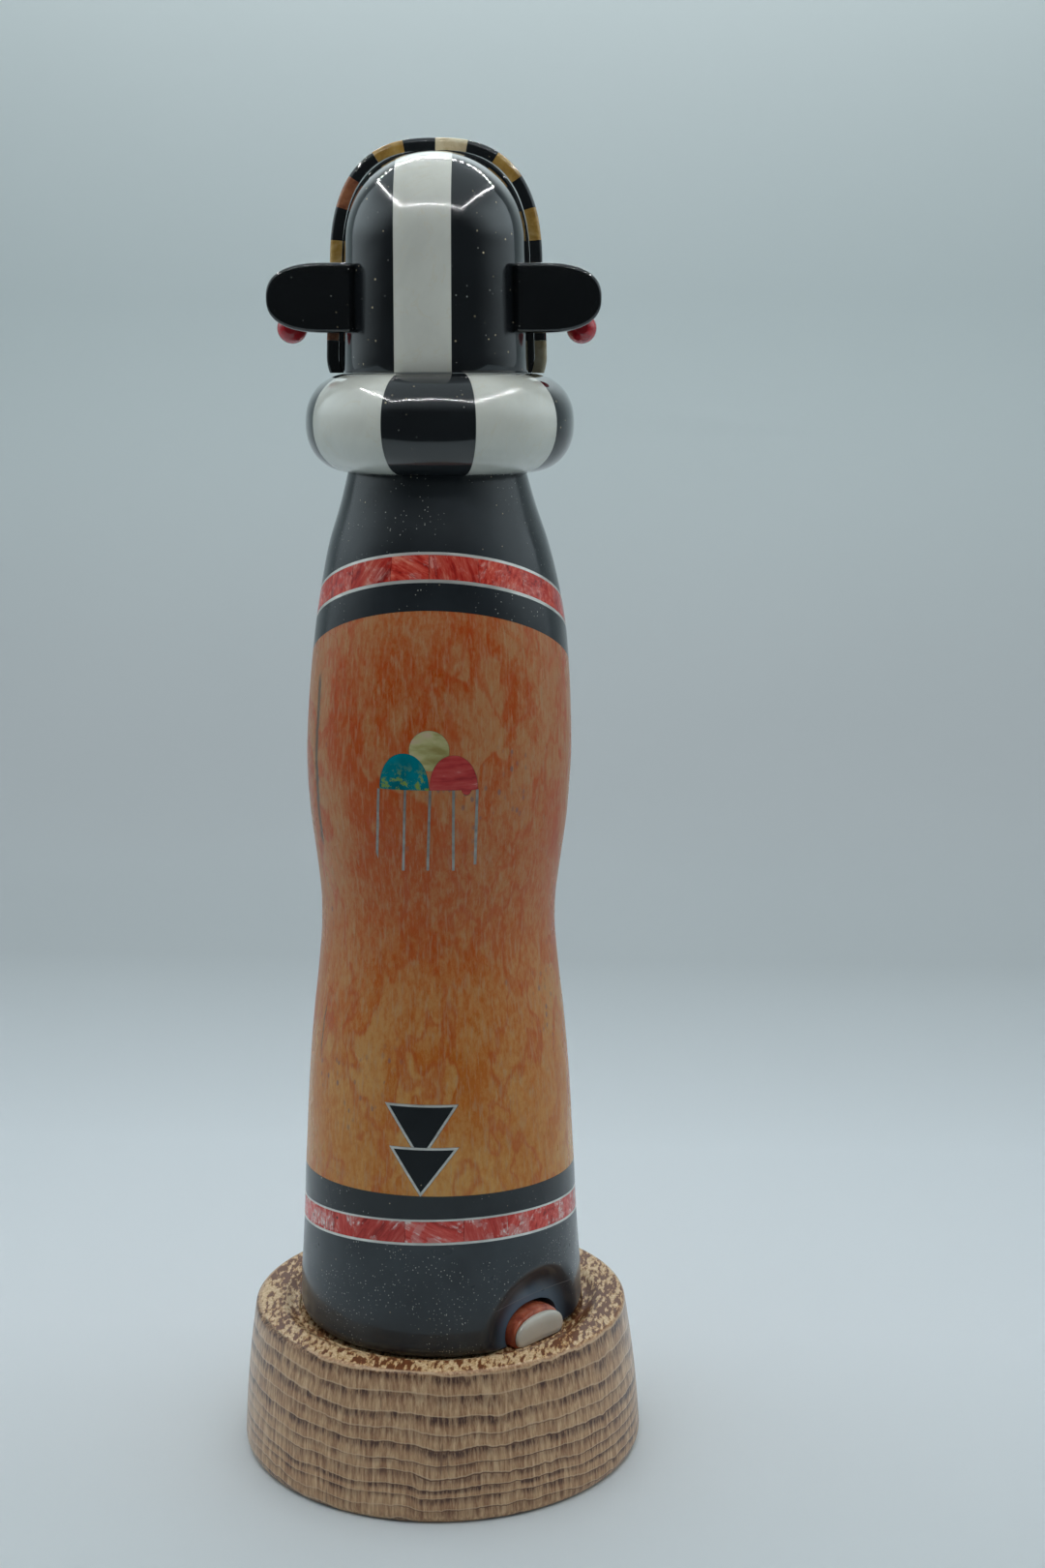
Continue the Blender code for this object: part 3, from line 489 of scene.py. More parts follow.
def striped(material, shader, place, scale, swirl, roughness, *stops):
    """Colour a finish by one swirled noise."""
    wave = cloudy(swirled(place, swirl, 0.004), scale, 4.0, roughness)
    wire(shader, Base_Color=colours(wave, *stops))
    return material


def pearl_shell():
    material, shader = start_finish(
        "pearl_shell_cloud", Coat_Weight=0.5, Roughness=0.26, Sheen_Weight=0.25, Metallic=0.15
    )
    return striped(
        material, shader, coordinates(shader, (1.0, 1.0, 2.6), (0.0, 0.35, 0.0)), 170.0, 120.0, 0.5,
        (0.30, (0.34, 0.28, 0.09)), (0.45, (0.46, 0.42, 0.17)),
        (0.56, (0.60, 0.54, 0.27)), (0.7, (0.66, 0.50, 0.33)),
    )


def cloud_red():
    material, shader = start_finish("red_cloud_stone", Coat_Weight=0.3, Roughness=0.22)
    return striped(
        material, shader, coordinates(shader, (0.35, 1.0, 2.2), (0.0, -0.12, 0.0)), 300.0, 90.0, 0.55,
        (0.32, (0.30, 0.025, 0.028)), (0.46, (0.50, 0.050, 0.048)),
        (0.60, (0.55, 0.085, 0.075)), (0.68, (0.66, 0.33, 0.29)),
    )


TURQUOISE, PEARL, CLOUD_RED = turquoise(), pearl_shell(), cloud_red()

# %% Finishes of the rim stones, the moccasins and the beads
def warm_stone(name, deep, middle, light, scale=230.0, squeeze=1.0, rough=0.18):
    material, shader = start_finish(name, Coat_Weight=0.7, Coat_Roughness=0.08, Roughness=rough)
    band = cloudy(swirled(tall(shader, squeeze), 90.0, 0.008), scale, 5.0, 0.6)
    wire(shader, Base_Color=colours(band, (0.3, deep), (0.5, middle), (0.72, light)))
    relief(shader, band, 0.00003, 0.2)
    return material


GOLD = warm_stone("gold_rim_stone", (0.22, 0.11, 0.02), (0.42, 0.25, 0.06), (0.60, 0.42, 0.16))
CREAM = warm_stone("cream_rim_stone", (0.44, 0.32, 0.16), (0.66, 0.54, 0.34), (0.80, 0.72, 0.52))
APRICOT = warm_stone("apricot_rim_stone", (0.16, 0.05, 0.025), (0.34, 0.13, 0.06), (0.50, 0.24, 0.12))
CORAL = warm_stone("coral_bead_stone", (0.36, 0.006, 0.014), (0.52, 0.013, 0.024), (0.60, 0.03, 0.04))
MOCCASIN = warm_stone(
    "moccasin_stone", (0.33, 0.050, 0.022), (0.60, 0.13, 0.06), (0.74, 0.22, 0.11), 420.0, 0.3, 0.12
)

# %% [markdown]
# ## Oak
#
# The base was turned from flat-sawn oak, so the side towards us is end grain. Growth rings run
# across it as wavy level bands, wider towards the top, with a pale crest where one ring ends and
# a brown shade below it, broken into short upright strokes. On top the same rings lie nearly
# level, so the pores show as brown ticks along the grain, in clumps. One solid pattern in object
# space gives both views, and the distance from the axis tells the side from the top.

# %% Side of the oak
def oak_side(shader, height, strokes, patch):
    """Wavy growth rings, each with its own weight, and how dark the wood is in them."""
    blocks = cloudy(tall(shader, 0.3), 330.0, 4.0, 0.7)
    wave = cloudy(coordinates(shader, (1.0, 0.5, 0.35)), 34.0, 2.0)
    ripple = cloudy(tall(shader, 0.25), 230.0, 3.0)
    uneven = cloudy(coordinates(shader, (0.03, 0.03, 1.0)), 230.0, 1.0)
    level = plus(height, times(wave, 0.0075), times(ripple, 0.0016), times(uneven, 0.0028))
    rings = times(level, minus(440.0, times(level, 3000.0)))
    ring = maths("FRACT", rings)
    number = put("CombineXYZ", {0: maths("FLOOR", rings)}).outputs[0]
    weight = fade(cloudy(number, 0.73, 1.0), 0.38, 0.6, 0.45, 1.0)
    ground = colours(
        strokes,
        (0.32, (0.33, 0.155, 0.075)), (0.5, (0.53, 0.300, 0.155)), (0.68, (0.74, 0.49, 0.285)),
    )
    rust = times(fade(blocks, 0.52, 0.62), fade(strokes, 0.55, 0.45))
    side = layer(times(rust, 0.5), ground, (0.30, 0.125, 0.055))
    dark = times(
        fade(ring, 0.22, 0.76), fade(ring, 0.91, 0.86), fade(strokes, 0.38, 0.56, 1.0, 0.5),
        fade(blocks, 0.38, 0.54, 0.55, 1.3), weight, fade(patch, 0.32, 0.55, 0.7, 1.0),
    )
    side = layer(maths("MINIMUM", dark, 1.0), side, (0.085, 0.033, 0.020))
    crest = times(fade(ring, 0.86, 0.91), fade(ring, 1.0, 0.95))
    side = layer(times(crest, 0.5), side, (0.66, 0.47, 0.31))
    low = fade(height, 0.026, 0.016)
    line = times(fade(off(ring, 0.85), 0.07, 0.02), low, fade(patch, 0.4, 0.55))
    side = layer(times(line, 0.8), side, (0.12, 0.045, 0.022))
    rays = cloudy(tall(shader, 0.05), 420.0, 3.0, 0.7)
    return layer(fade(rays, 0.36, 0.29, 0.0, 0.6), side, (0.16, 0.075, 0.042)), dark


# %% Top of the oak
def oak_top(shader, strokes):
    """Pores as brown ticks along the grain, gathered in slanting clumps."""
    tick = cloudy(coordinates(shader, (1.0, 0.32, 1.0), (0.0, 0.0, 0.3)), 1000.0, 3.0, 0.6)
    clump = cloudy(coordinates(shader, (1.0, 0.55, 1.0), (0.0, 0.0, 0.9)), 300.0, 3.0)
    drift = cloudy(coordinates(shader, move=(0.05, 0.02, 0.0)), 42.0, 2.0)
    thick = plus(tick, times(minus(clump, 0.5), 0.32), times(minus(drift, 0.5), 0.35))
    top = colours(strokes, (0.35, (0.62, 0.39, 0.19)), (0.65, (0.92, 0.69, 0.43)))
    top = layer(fade(thick, 0.43, 0.51, 0.0, 0.8), top, (0.50, 0.235, 0.070))
    return layer(fade(thick, 0.505, 0.54, 0.0, 0.95), top, (0.17, 0.048, 0.016))


# %% Oak finish
def oak():
    material, shader = start_finish("oak_base", Coat_Weight=0.35, Coat_Roughness=0.04, IOR=1.4)
    axes = axes_of(coordinates(shader))
    radius = length_of(put("CombineXYZ", {0: axes[0], 1: axes[1]}).outputs[0])
    strokes = cloudy(tall(shader, 0.09), 1300.0, 4.0, 0.65)
    patch = cloudy(tall(shader, 0.6), 60.0, 3.0)
    side, dark = oak_side(shader, axes[2], strokes, patch)
    wood = layer(fade(radius, 0.0439, 0.0432), side, oak_top(shader, strokes))
    wire(shader, Base_Color=wood, Roughness=fade(patch, 0.3, 0.7, 0.28, 0.42))
    relief(shader, minus(strokes, dark), 0.00008, 0.35)
    return material


OAK = oak()

# %% [markdown]
# ## Turned forms
#
# The base, the body, the ruff and the back of the head were all turned on a lathe. In Blender a
# lathe is the spin operator: a few vertices make the outline, and spin carries them round the
# axis. A smooth curve through a few measured stations gives the outline without flats.

# %% Helpers for outlines
def smooth_curve(stations, where):
    """A smooth curve through (place, value) stations, read at one place."""
    last = len(stations) - 1
    i = 0
    while i < last - 1 and where > stations[i + 1][0]:
        i += 1
    (x0, y0), (x1, y1) = stations[i], stations[i + 1]

    def slope(k):
        before = stations[max(k - 1, 0)]
        after = stations[min(k + 1, last)]
        return (after[1] - before[1]) / (after[0] - before[0])

    t = min(max((where - x0) / (x1 - x0), 0.0), 1.0)
    level = (2 * t ** 3 - 3 * t ** 2 + 1) * y0 + (3 * t ** 2 - 2 * t ** 3) * y1
    bend = (t ** 3 - 2 * t ** 2 + t) * slope(i) + (t ** 3 - t ** 2) * slope(i + 1)
    return level + (x1 - x0) * bend


def superellipse(angle, across, up, fullness):
    """A point on a rounded outline; fullness 2 is an ellipse and more is squarer."""
    c, s = cos(angle), sin(angle)
    x = across * abs(c) ** (2 / fullness) * (1 if c >= 0 else -1)
    return x, up * abs(s) ** (2 / fullness) * (1 if s >= 0 else -1)


def arc(centre, across, up, first, last, steps):
    """Points round part of an ellipse, between two angles in degrees."""
    angles = [radians(first + (last - first) * i / steps) for i in range(steps + 1)]
    return [(centre[0] + across * cos(a), centre[1] + up * sin(a)) for a in angles]


def between(start, end, steps):
    """The points inside a straight line that part it into equal steps."""
    return [tuple(a + (b - a) * i / steps for a, b in zip(start, end)) for i in range(1, steps)]


# %% Helpers for turning and cutting
def turned(outline, steps=192):
    """Spin (radius, height) points in mm round the axis into one closed skin."""
    bm = bmesh.new()
    points = [bm.verts.new((r * MM, 0.0, z * MM)) for r, z in outline]
    edges = [bm.edges.new(pair) for pair in zip(points, points[1:])]
    bmesh.ops.spin(
        bm, geom=points + edges, cent=(0, 0, 0), axis=(0, 0, 1),
        angle=2 * pi, steps=steps, use_merge=True,
    )
    bmesh.ops.remove_doubles(bm, verts=bm.verts, dist=1e-7)
    bmesh.ops.recalc_face_normals(bm, faces=bm.faces)
    return bm


def cut_away(bm, point, normal):
    """Grind a closed form flat at a plane, keeping what lies behind the plane."""
    everything = bm.verts[:] + bm.edges[:] + bm.faces[:]
    bmesh.ops.bisect_plane(
        bm, geom=everything, dist=1e-8, plane_co=point, plane_no=normal, clear_outer=True
    )
    bmesh.ops.holes_fill(bm, edges=[e for e in bm.edges if e.is_boundary], sides=0)


def sector(form, start, end, gap):
    """A copy of a form between two bearings in degrees from the back towards +X, less a gap."""
    bm = copy_of(form)
    for bearing, side in ((start, -1), (end, 1)):
        a = radians(bearing)
        across = Vector((cos(a), sin(a), 0.0)) * side
        cut_away(bm, -across * gap * MM, across)
    return bm


# %% [markdown]
# ## Oak base
#
# A tapered disc with a slightly swollen side, a rounded rim and a shallow recess that the body
# stands in. The top is dished towards the recess, down to a small ridge. We turn it.

# %% Turn the base
BASE_TOP, BASE_FLOOR, RIDGE, BASE_LEAN = 34.8, 32.1, 33.1, 0.4
SIDE_TOP, SIDE_DROP, SIDE_SPREAD, SIDE_SWELL, RIM_ROUND = 44.4, 1.2, 3.3, 0.45, 1.3
WORN_WIDE, WORN_TALL = 1.7, 2.6
base_outline = [(r, BASE_FLOOR) for r in (0.0, 20.0, 33.7)]
base_outline += [(33.9, BASE_FLOOR + 0.12), (33.98, BASE_FLOOR + 0.5), (34.05, RIDGE - 0.12)]
base_outline.append((34.25, RIDGE + 0.02))
for i in range(13):  # the dished lip
    share = i / 12
    rise = (BASE_TOP - RIDGE - 0.04) * (0.5 - 0.5 * cos(pi * share))
    base_outline.append((34.5 + 4.1 * share, RIDGE + 0.04 + rise))
base_outline += arc((SIDE_TOP - RIM_ROUND, BASE_TOP - RIM_ROUND), RIM_ROUND, RIM_ROUND, 90, 6, 8)
for i in range(1, 17):
    share = i / 16
    out = SIDE_TOP + SIDE_SPREAD * share + SIDE_SWELL * sin(pi * share)
    base_outline.append((out, BASE_TOP - SIDE_DROP + (WORN_TALL - BASE_TOP + SIDE_DROP) * share))
worn_middle = (SIDE_TOP + SIDE_SPREAD - WORN_WIDE, WORN_TALL)
base_outline += arc(worn_middle, WORN_WIDE, WORN_TALL, 0, -90, 7)[1:] + [(30.0, 0.0), (0.0, 0.0)]
base_bm = turned(base_outline, 256)
for vert in base_bm.verts:  # the turning leans a little to -X
    vert.co.x -= BASE_LEAN / BASE_TOP * vert.co.z
hand_over("oak_base", base_bm, OAK, "oak", ["base"])

# %% [markdown]
# ## Body layers
#
# The maker stacked slabs of stone with tilted joints, glued them and turned the whole stack, so
# the joints run round the body as leaning rings. We do the same: turn one form, then grind a
# copy flat at the two planes of each layer. The layers then meet in one unbroken curve.

# %% Turn the body form
SEAT, NECK, FOOT_ROUND, BODY_FOOT = 32.13, 231.0, 3.6, 33.6
BODY = (  # height, radius, measured on the silhouette
    (32.0, 33.6), (42.8, 33.4), (48.2, 33.0), (58.0, 32.4), (67.7, 31.95), (77.4, 31.4), (87.0, 30.9),
    (96.6, 30.2), (106.1, 29.3), (115.5, 28.2), (124.9, 27.3), (129.8, 27.15), (134.8, 27.3),
    (143.4, 28.3), (152.6, 29.5), (161.7, 30.2), (168.8, 30.4), (179.8, 29.95), (188.8, 29.3),
    (197.6, 28.35), (206.5, 26.8), (215.3, 24.8), (224.0, 22.0), (231.0, 20.1),
)
DRIFT = (  # height, how far the hand-finished middle wanders to +X
    (48.0, -0.25), (60.0, -0.33), (113.0, -0.33), (130.0, -0.3), (140.0, -0.1), (148.0, 0.0),
    (160.0, 0.03), (171.0, 0.2), (186.0, 0.5), (195.0, 0.67), (206.0, 0.62), (215.0, 0.4),
    (231.0, 0.1),
)


def body_outline(top, spacing):
    """The body's outline from its seat up to a height, with its rounded foot."""
    start = SEAT + FOOT_ROUND
    points = [(r, SEAT) for r in (0.0, 12.0, 20.0, 24.0, 27.0)]
    points += arc((BODY_FOOT - FOOT_ROUND, start), FOOT_ROUND, FOOT_ROUND, -90, 0, 8)
    rows = int((top - start) / spacing)
    heights = [start + (top - start) * i / rows for i in range(1, rows + 1)]
    return points + [(smooth_curve(BODY, z), z) for z in heights] + [(0.0, top)]


def wander(bm):
    """Move each level sideways as the real body does."""
    for vert in bm.verts:
        height = min(max(vert.co.z / MM, DRIFT[0][0]), DRIFT[-1][0])
        vert.co.x += smooth_curve(DRIFT, height) * MM


body_bm = turned(body_outline(NECK, 1.5), 256)
wander(body_bm)
body_form = to_mesh("body_form", body_bm)
print("body form:", len(body_form.polygons), "faces")

# %% [markdown]
# The joints lean: each plane crosses the axis at a height and rises towards the back. Tight
# joints of 0.03 mm keep the layers apart without showing a gap.

# %% Joint planes and a helper that cuts one layer
HEM, ROBE_FOOT, ROBE_TOP, COLLAR = (6.0, 1.4), (2.9, 0.0), (26.6, 0.0), (25.0, 0.0)
JOINTS = {  # layer: height of its upper joint, and how that leans to the back and to +X
    "skirt": (56.3, HEM), "hem_strip_lower": (56.9, HEM), "hem_stone_band": (61.85, HEM),
    "hem_strip_upper": (62.35, HEM), "hem_black_band": (69.5, ROBE_FOOT), "robe": (188.7, ROBE_TOP),
    "collar_black_band": (196.15, COLLAR), "collar_strip_lower": (196.95, COLLAR),
    "collar_stone_band": (202.7, COLLAR), "collar_strip_upper": (203.4, COLLAR), "shoulders": None,
}
TIGHT = 0.015  # half the joint between two pieces
GLUE_LINE = 0.05  # half the dark joint between two stones of a band


def joint(height, lean, side):
    """Point and upward normal of a joint plane."""
    back, across = lean
    normal = Vector((-tan(radians(across)), tan(radians(back)), 1.0)).normalized()
    return Vector((0.0, 0.0, (height - side * TIGHT) * MM)), normal


def cut_layer(name, source):
    """Grind a copy of a form flat at the joints below and above one layer."""
    bm = copy_of(source)
    names = list(JOINTS)
    below = names.index(name) - 1
    if below >= 0:
        point, normal = joint(*JOINTS[names[below]], -1)
        cut_away(bm, point, -normal)
    if JOINTS[name]:
        cut_away(bm, *joint(*JOINTS[name], 1))
    return bm


# %% Plain layers
for node in (
    "hem_strip_lower", "hem_strip_upper", "hem_black_band", "collar_black_band",
    "collar_strip_lower", "collar_strip_upper", "shoulders",
):
    finish, slot = (SILVER, "silver") if "strip" in node else (BODY_BLACK, "black_stone")
    hand_over(node + "_layer", cut_layer(node, body_form), finish, slot, [node])

# %% [markdown]
# ## Red bands, stone by stone
#
# Each red band is a row of short stones. We cut the ring with upright planes through the axis,
# give each stone its own number for the material, and keep the stones of a band as one piece.
# Steps of the golden section spread the numbers, so that no two neighbours look alike.

# %% Cut the red bands into stones
GOLDEN = 0.381966


def band_of_stones(name, node, finish, starts):
    """Cut a ring into stones that start at the given bearings."""
    ring = to_mesh("ring", cut_layer(node, body_form))
    row = bmesh.new()
    seeds = []
    for number, start in enumerate(starts):
        stone = to_mesh("stone", sector(ring, start, starts[(number + 1) % len(starts)], GLUE_LINE))
        row.from_mesh(stone)
        seeds += [(number * GOLDEN + 0.13) % 1.0] * len(stone.vertices)
        bpy.data.meshes.remove(stone)
    bpy.data.meshes.remove(ring)
    piece = hand_over(name, row, finish, "red_stone", [node])
    mark = piece.data.attributes.new("stone", "FLOAT", "POINT")
    mark.data.foreach_set("value", seeds)


band_of_stones(
    "collar_red_stones", "collar_stone_band", COLLAR_RED,
    [-92, -67, -41, -18, 1, 25, 49, 72, 97, 122, 147, 172, 197, 222, 246],
)
band_of_stones(
    "hem_red_stones", "hem_stone_band", HEM_RED,
    [-84, -58, -33, -10, 14, 33, 55, 78, 101, 124, 148, 171, 194, 217, 240, 257],
)

# %% [markdown]
# ## Robe with its inlays
#
# The clouds, the rain and the two triangles are let into the robe and ground flush. A flush
# inlay is a prism cut with the body form, and its pocket is the same prism taken out of the
# robe, so we use the exact Boolean for both. The result is applied at once. The work objects go
# on a bench list, because they are tools and have to be cleared at the end.

# %% Helpers for Booleans
KEEP, TAKE = "INTERSECT", "DIFFERENCE"
BENCH = []


def bench(name, bm):
    """A work object that is no piece of the figure."""
    bmesh.ops.recalc_face_normals(bm, faces=bm.faces)
    BENCH.append(link(name, to_mesh(name, bm)))
    return BENCH[-1]


def carved(host, cuts):
    """The bmesh of a work object after exact Booleans with (operation, work object) cuts."""
    for operation, tool in cuts:
        modifier = host.modifiers.new(tool.name, "BOOLEAN")
        modifier.solver = "EXACT"
        modifier.operation = operation
        modifier.object = tool
    bpy.context.view_layer.update()
    graph = bpy.context.evaluated_depsgraph_get()
    mesh = bpy.data.meshes.new_from_object(host.evaluated_get(graph))
    host.modifiers.clear()
    bm = copy_of(mesh)
    bpy.data.meshes.remove(mesh)
    bmesh.ops.remove_doubles(bm, verts=bm.verts, dist=1e-7)
    bmesh.ops.dissolve_degenerate(bm, edges=bm.edges, dist=1e-7)
    return bm


# %% Helpers for inlays
def push(bm, faces, reach):
    """Extrude faces along Y by a reach in mm."""
    pushed = bmesh.ops.extrude_face_region(bm, geom=faces)
    corners = [item for item in pushed["geom"] if isinstance(item, bmesh.types.BMVert)]
    bmesh.ops.translate(bm, verts=corners, vec=(0.0, reach * MM, 0.0))


def stand(bm, outline, y):
    """A flat face from an (x, z) outline in mm."""
    return bm.faces.new([bm.verts.new((x * MM, y * MM, z * MM)) for x, z in outline])


def prism(outline, near, far, bm=None):
    """Push a flat (x, z) outline in mm along Y."""
    bm = bm or bmesh.new()
    push(bm, [stand(bm, outline, near)], far - near)
    return bm


def spread(outline, amount):
    """An outline grown from its middle by about an amount."""
    x = sum(p[0] for p in outline) / len(outline)
    z = sum(p[1] for p in outline) / len(outline)
    grown = []
    for px, pz in outline:
        share = amount / hypot(px - x, pz - z)
        grown.append((px + (px - x) * share, pz + (pz - z) * share))
    return grown


# %% Outlines of the clouds and the rain
def half_round(centre, width, height, foot, drip=()):
    arch = [superellipse(pi * i / 40, width / 2, height, 2.15) for i in range(41)]
    return [(centre + x, foot + z) for x, z in arch] + list(drip)


def wire_outline(top, foot, half):
    (top_x, top_z), (foot_x, foot_z) = top, foot
    left = [(top_x - half, top_z), (foot_x - half, foot_z)]
    return left + [(foot_x + half, foot_z), (top_x + half, top_z)]


CLOUDS = {
    "left": half_round(-4.98, 11.0, 8.0, 163.6),
    "right": half_round(
        5.85, 10.4, 7.6, 163.65,
        [(7.5, 163.6), (7.8, 162.9), (8.3, 162.5), (8.9, 162.45), (9.4, 162.8), (9.7, 163.5)],
    ),
    "top": arc((0.6, 172.3), 4.4, 4.4, 0, 360, 48)[:-1],
}
WIRES = (  # top and foot of each
    ((-10.75, 163.6), (-11.45, 147.4)), ((-4.75, 163.6), (-5.5, 145.2)),
    ((0.75, 163.6), (-0.05, 145.4)), ((5.85, 163.6), (5.55, 145.3)), ((10.95, 163.6), (10.25, 146.5)),
)
FLOOR, OUTSIDE = -26.6, -60.0  # an inlay's prism reaches from its floor to outside the body
SLACK = 0.06  # round an inlay, in its pocket
form = bench("form", bmesh.new())
form.data = body_form
clouds, pockets = {}, {}
for name, outline in CLOUDS.items():
    clouds[name] = bench("cloud_" + name, prism(outline, FLOOR, OUTSIDE))
    pockets[name] = bench(name + "_pocket", prism(spread(outline, SLACK), FLOOR + SLACK, OUTSIDE))
rain_bm, channel_bm = bmesh.new(), bmesh.new()
for top, foot in WIRES:
    prism(wire_outline(top, foot, 0.28), FLOOR, OUTSIDE, rain_bm)
    prism(wire_outline(top, (foot[0], foot[1] - 0.02), 0.3), FLOOR + SLACK, OUTSIDE, channel_bm)
rain = bench("rain", rain_bm)
pockets["rain"] = bench("channels", channel_bm)

# %% Cut the clouds and the rain
flush = [(KEEP, form)]
beside = flush + [(TAKE, pockets["left"]), (TAKE, pockets["right"])]
for name, blank, cuts, finish, slot, nodes in (
    ("turquoise_cloud", clouds["left"], flush, TURQUOISE, "turquoise", ["cloud_left"]),
    ("red_cloud", clouds["right"], flush, CLOUD_RED, "red_stone", ["cloud_right"]),
    ("pearl_cloud", clouds["top"], beside, PEARL, "pearl_shell", ["cloud_top"]),
    ("rain_wires", rain, beside, WIRE_SILVER, "silver", []),
):
    hand_over(name, carved(blank, cuts), finish, slot, nodes)

# %% [markdown]
# The triangles are black stone in thin silver rims. Insetting the outline gives the rim and the
# stone from one face: the ring of faces is pushed into the rim, and the middle into the stone.
# The upper triangle is cut off level where it meets the lower one, so its outline is drawn
# longer than what shows, and its pocket has the shown outline.

# %% Cut the triangles and their rims
RIM = 0.55


def rimmed(outline, cut_below):
    """The rim and the stone of a framed inlay, as two prisms."""
    made = []
    for keep_middle in (False, True):
        bm = bmesh.new()
        face = stand(bm, outline, OUTSIDE)
        bm.normal_update()
        thickness = (RIM + 0.03 * keep_middle) * MM
        inset = bmesh.ops.inset_region(
            bm, faces=[face], thickness=thickness, use_boundary=True, use_even_offset=True
        )
        bmesh.ops.delete(bm, geom=inset["faces"] if keep_middle else [face], context="FACES")
        push(bm, bm.faces[:], FLOOR - OUTSIDE)
        bmesh.ops.recalc_face_normals(bm, faces=bm.faces)
        if cut_below:
            cut_away(bm, Vector((0.0, 0.0, cut_below * MM)), Vector((0.0, 0.0, -1.0)))
        made.append(bm)
    return made


UPPER = [(-10.05, 92.15), (6.56, 92.15), (0.22, 82.35), (-4.0, 82.35)]
UPPER_LONG = UPPER[:2] + [(-1.04, 80.4), (-2.8, 80.4)]
LOWER = [(-9.1, 82.3), (6.7, 82.3), (-2.0, 70.95)]
for name, outline, shown, cut in (
    ("upper", UPPER_LONG, UPPER, UPPER[-1][1]), ("lower", LOWER, LOWER, None)
):
    rim_bm, stone_bm = rimmed(outline, cut)
    rim, stone = bench("rim_" + name, rim_bm), bench("stone_" + name, stone_bm)
    node = "triangle_" + name
    hand_over(node + "_rim", carved(rim, flush), SILVER, "silver", [])
    hand_over(node + "_stone", carved(stone, flush), INLAY_BLACK, "black_stone", [node])
    pockets[name] = bench(name + "_pocket", prism(spread(shown, 2 * SLACK), FLOOR + SLACK, OUTSIDE))

# %% Cut the robe's pockets
robe = bench("robe_blank", cut_layer("robe", body_form))
robe_bm = carved(robe, [(TAKE, pocket) for pocket in pockets.values()])
hand_over("robe_stone", robe_bm, ROBE_STONE, "orange_stone", ["robe"])

# %% [markdown]
# ## Skirt with its hollows
#
# Two hollows like thumb marks are ground into the black skirt, and a foot stands in each. A
# Boolean would leave a raw edge, but a polished one is soft. So we turn a dense skin and pull
# each vertex in towards the axis, to where an ellipsoid cuts its path, with a soft minimum.

# %% Pull the hollows into the skirt
FEET = {"right": radians(49.5), "left": radians(229.5)}  # bearings from the back towards +X
HOLLOW_MIDDLE, HOLLOW_LIFT = 36.9, 34.8
HOLLOW_WIDE, HOLLOW_DEEP, HOLLOW_TALL = 28.0, 8.1, 18.0
SOFT_EDGE, HOLLOW_NEAR = 1.12, 1.2
SKIRT_CORE, SKIRT_TOP = 8.0, 65.0  # the hollows are pulled in outside the core, below the top


def hollow_reach(bearing, z):
    """How far from the axis an outward path meets the nearest hollow, or None."""
    for turn in FEET.values():
        across, ahead = sin(bearing - turn), cos(bearing - turn)
        if ahead <= 0:
            continue
        a = (across / HOLLOW_WIDE) ** 2 + (ahead / HOLLOW_DEEP) ** 2
        b = ahead * HOLLOW_MIDDLE / HOLLOW_DEEP ** 2
        c = (HOLLOW_MIDDLE / HOLLOW_DEEP) ** 2 + ((z - HOLLOW_LIFT) / HOLLOW_TALL) ** 2 - 1
        inside = b * b - a * c
        if inside > 0:
            return (b - sqrt(inside)) / a
    return None


def soft_least(a, b, k):
    """The smaller of two lengths, with the corner between them rounded."""
    h = max(k - abs(a - b), 0.0) / k
    return min(a, b) - h * h * k * 0.25


skirt_outline = [(r, SEAT) for r in (0.0, 15.0, 22.0, 26.0, 28.0, 29.0)]
skirt_outline += body_outline(66.0, 0.45)[5:]
skirt_bm = turned(skirt_outline, 420)
for vert in skirt_bm.verts:
    x, y, z = vert.co / MM
    r = hypot(x, y)
    if r > SKIRT_CORE and z < SKIRT_TOP:
        reach = hollow_reach(atan2(x, -y), z)
        if reach is not None and reach < r + HOLLOW_NEAR:
            share = soft_least(r, reach, SOFT_EDGE) / r
            vert.co.x *= share
            vert.co.y *= share
bmesh.ops.remove_doubles(skirt_bm, verts=skirt_bm.verts, dist=0.02 * MM)
wander(skirt_bm)
cut_away(skirt_bm, *joint(*JOINTS["skirt"], 1))
print("skirt:", len(skirt_bm.faces), "faces before its openings")

# %% [markdown]
# The hollows carry painted light over the skirt's finish: painted shade darkens each lip and a
# painted bluish reflection greys each floor. A pale hairline crosses the hollow.

# %% Painted shade and reflection in the hollows
LIP_WIDE, LIP_TALL, CRACK_UP = 15.3, 15.6, 8.1


def paint_hollow_light(material):
    """Paint shade on the lip of the hollows and a bluish reflection on their floor, in the skirt's
    finish.
    """
    shader = material.node_tree.nodes["Principled BSDF"]
    skin = shader.inputs["Base Color"].links[0].from_socket
    place = coordinates(shader, turn=(0.0, 0.0, -FEET["right"]), move=(0.0, 0.0, -HOLLOW_LIFT * MM))
    shares = (1 / (LIP_WIDE * MM), 0.0, 1 / (LIP_TALL * MM))
    reach = length_of(put("VectorMath", {0: place, 1: shares}, operation="MULTIPLY").outputs[0])
    lip, floor = fade(reach, 1.05, 0.88), fade(reach, 0.84, 0.52)
    # painted shade on the lip, then a painted bluish reflection on the floor
    dark = layer(times(lip, 0.9), skin, (0.008, 0.015, 0.026))
    grey = layer(times(floor, 0.8), dark, (0.12, 0.20, 0.28))
    crack = fade(off(axes_of(place)[2], CRACK_UP * MM), 0.00014, 0.00004)
    wire(shader, Base_Color=layer(times(crack, lip, 0.5), grey, (0.25, 0.26, 0.27)))


paint_hollow_light(SKIRT_BLACK)

# %% [markdown]
# Each foot goes through an arched opening at the bottom of its hollow, a little larger than the
# foot. The openings are cut last, on the skin that has its hollows.

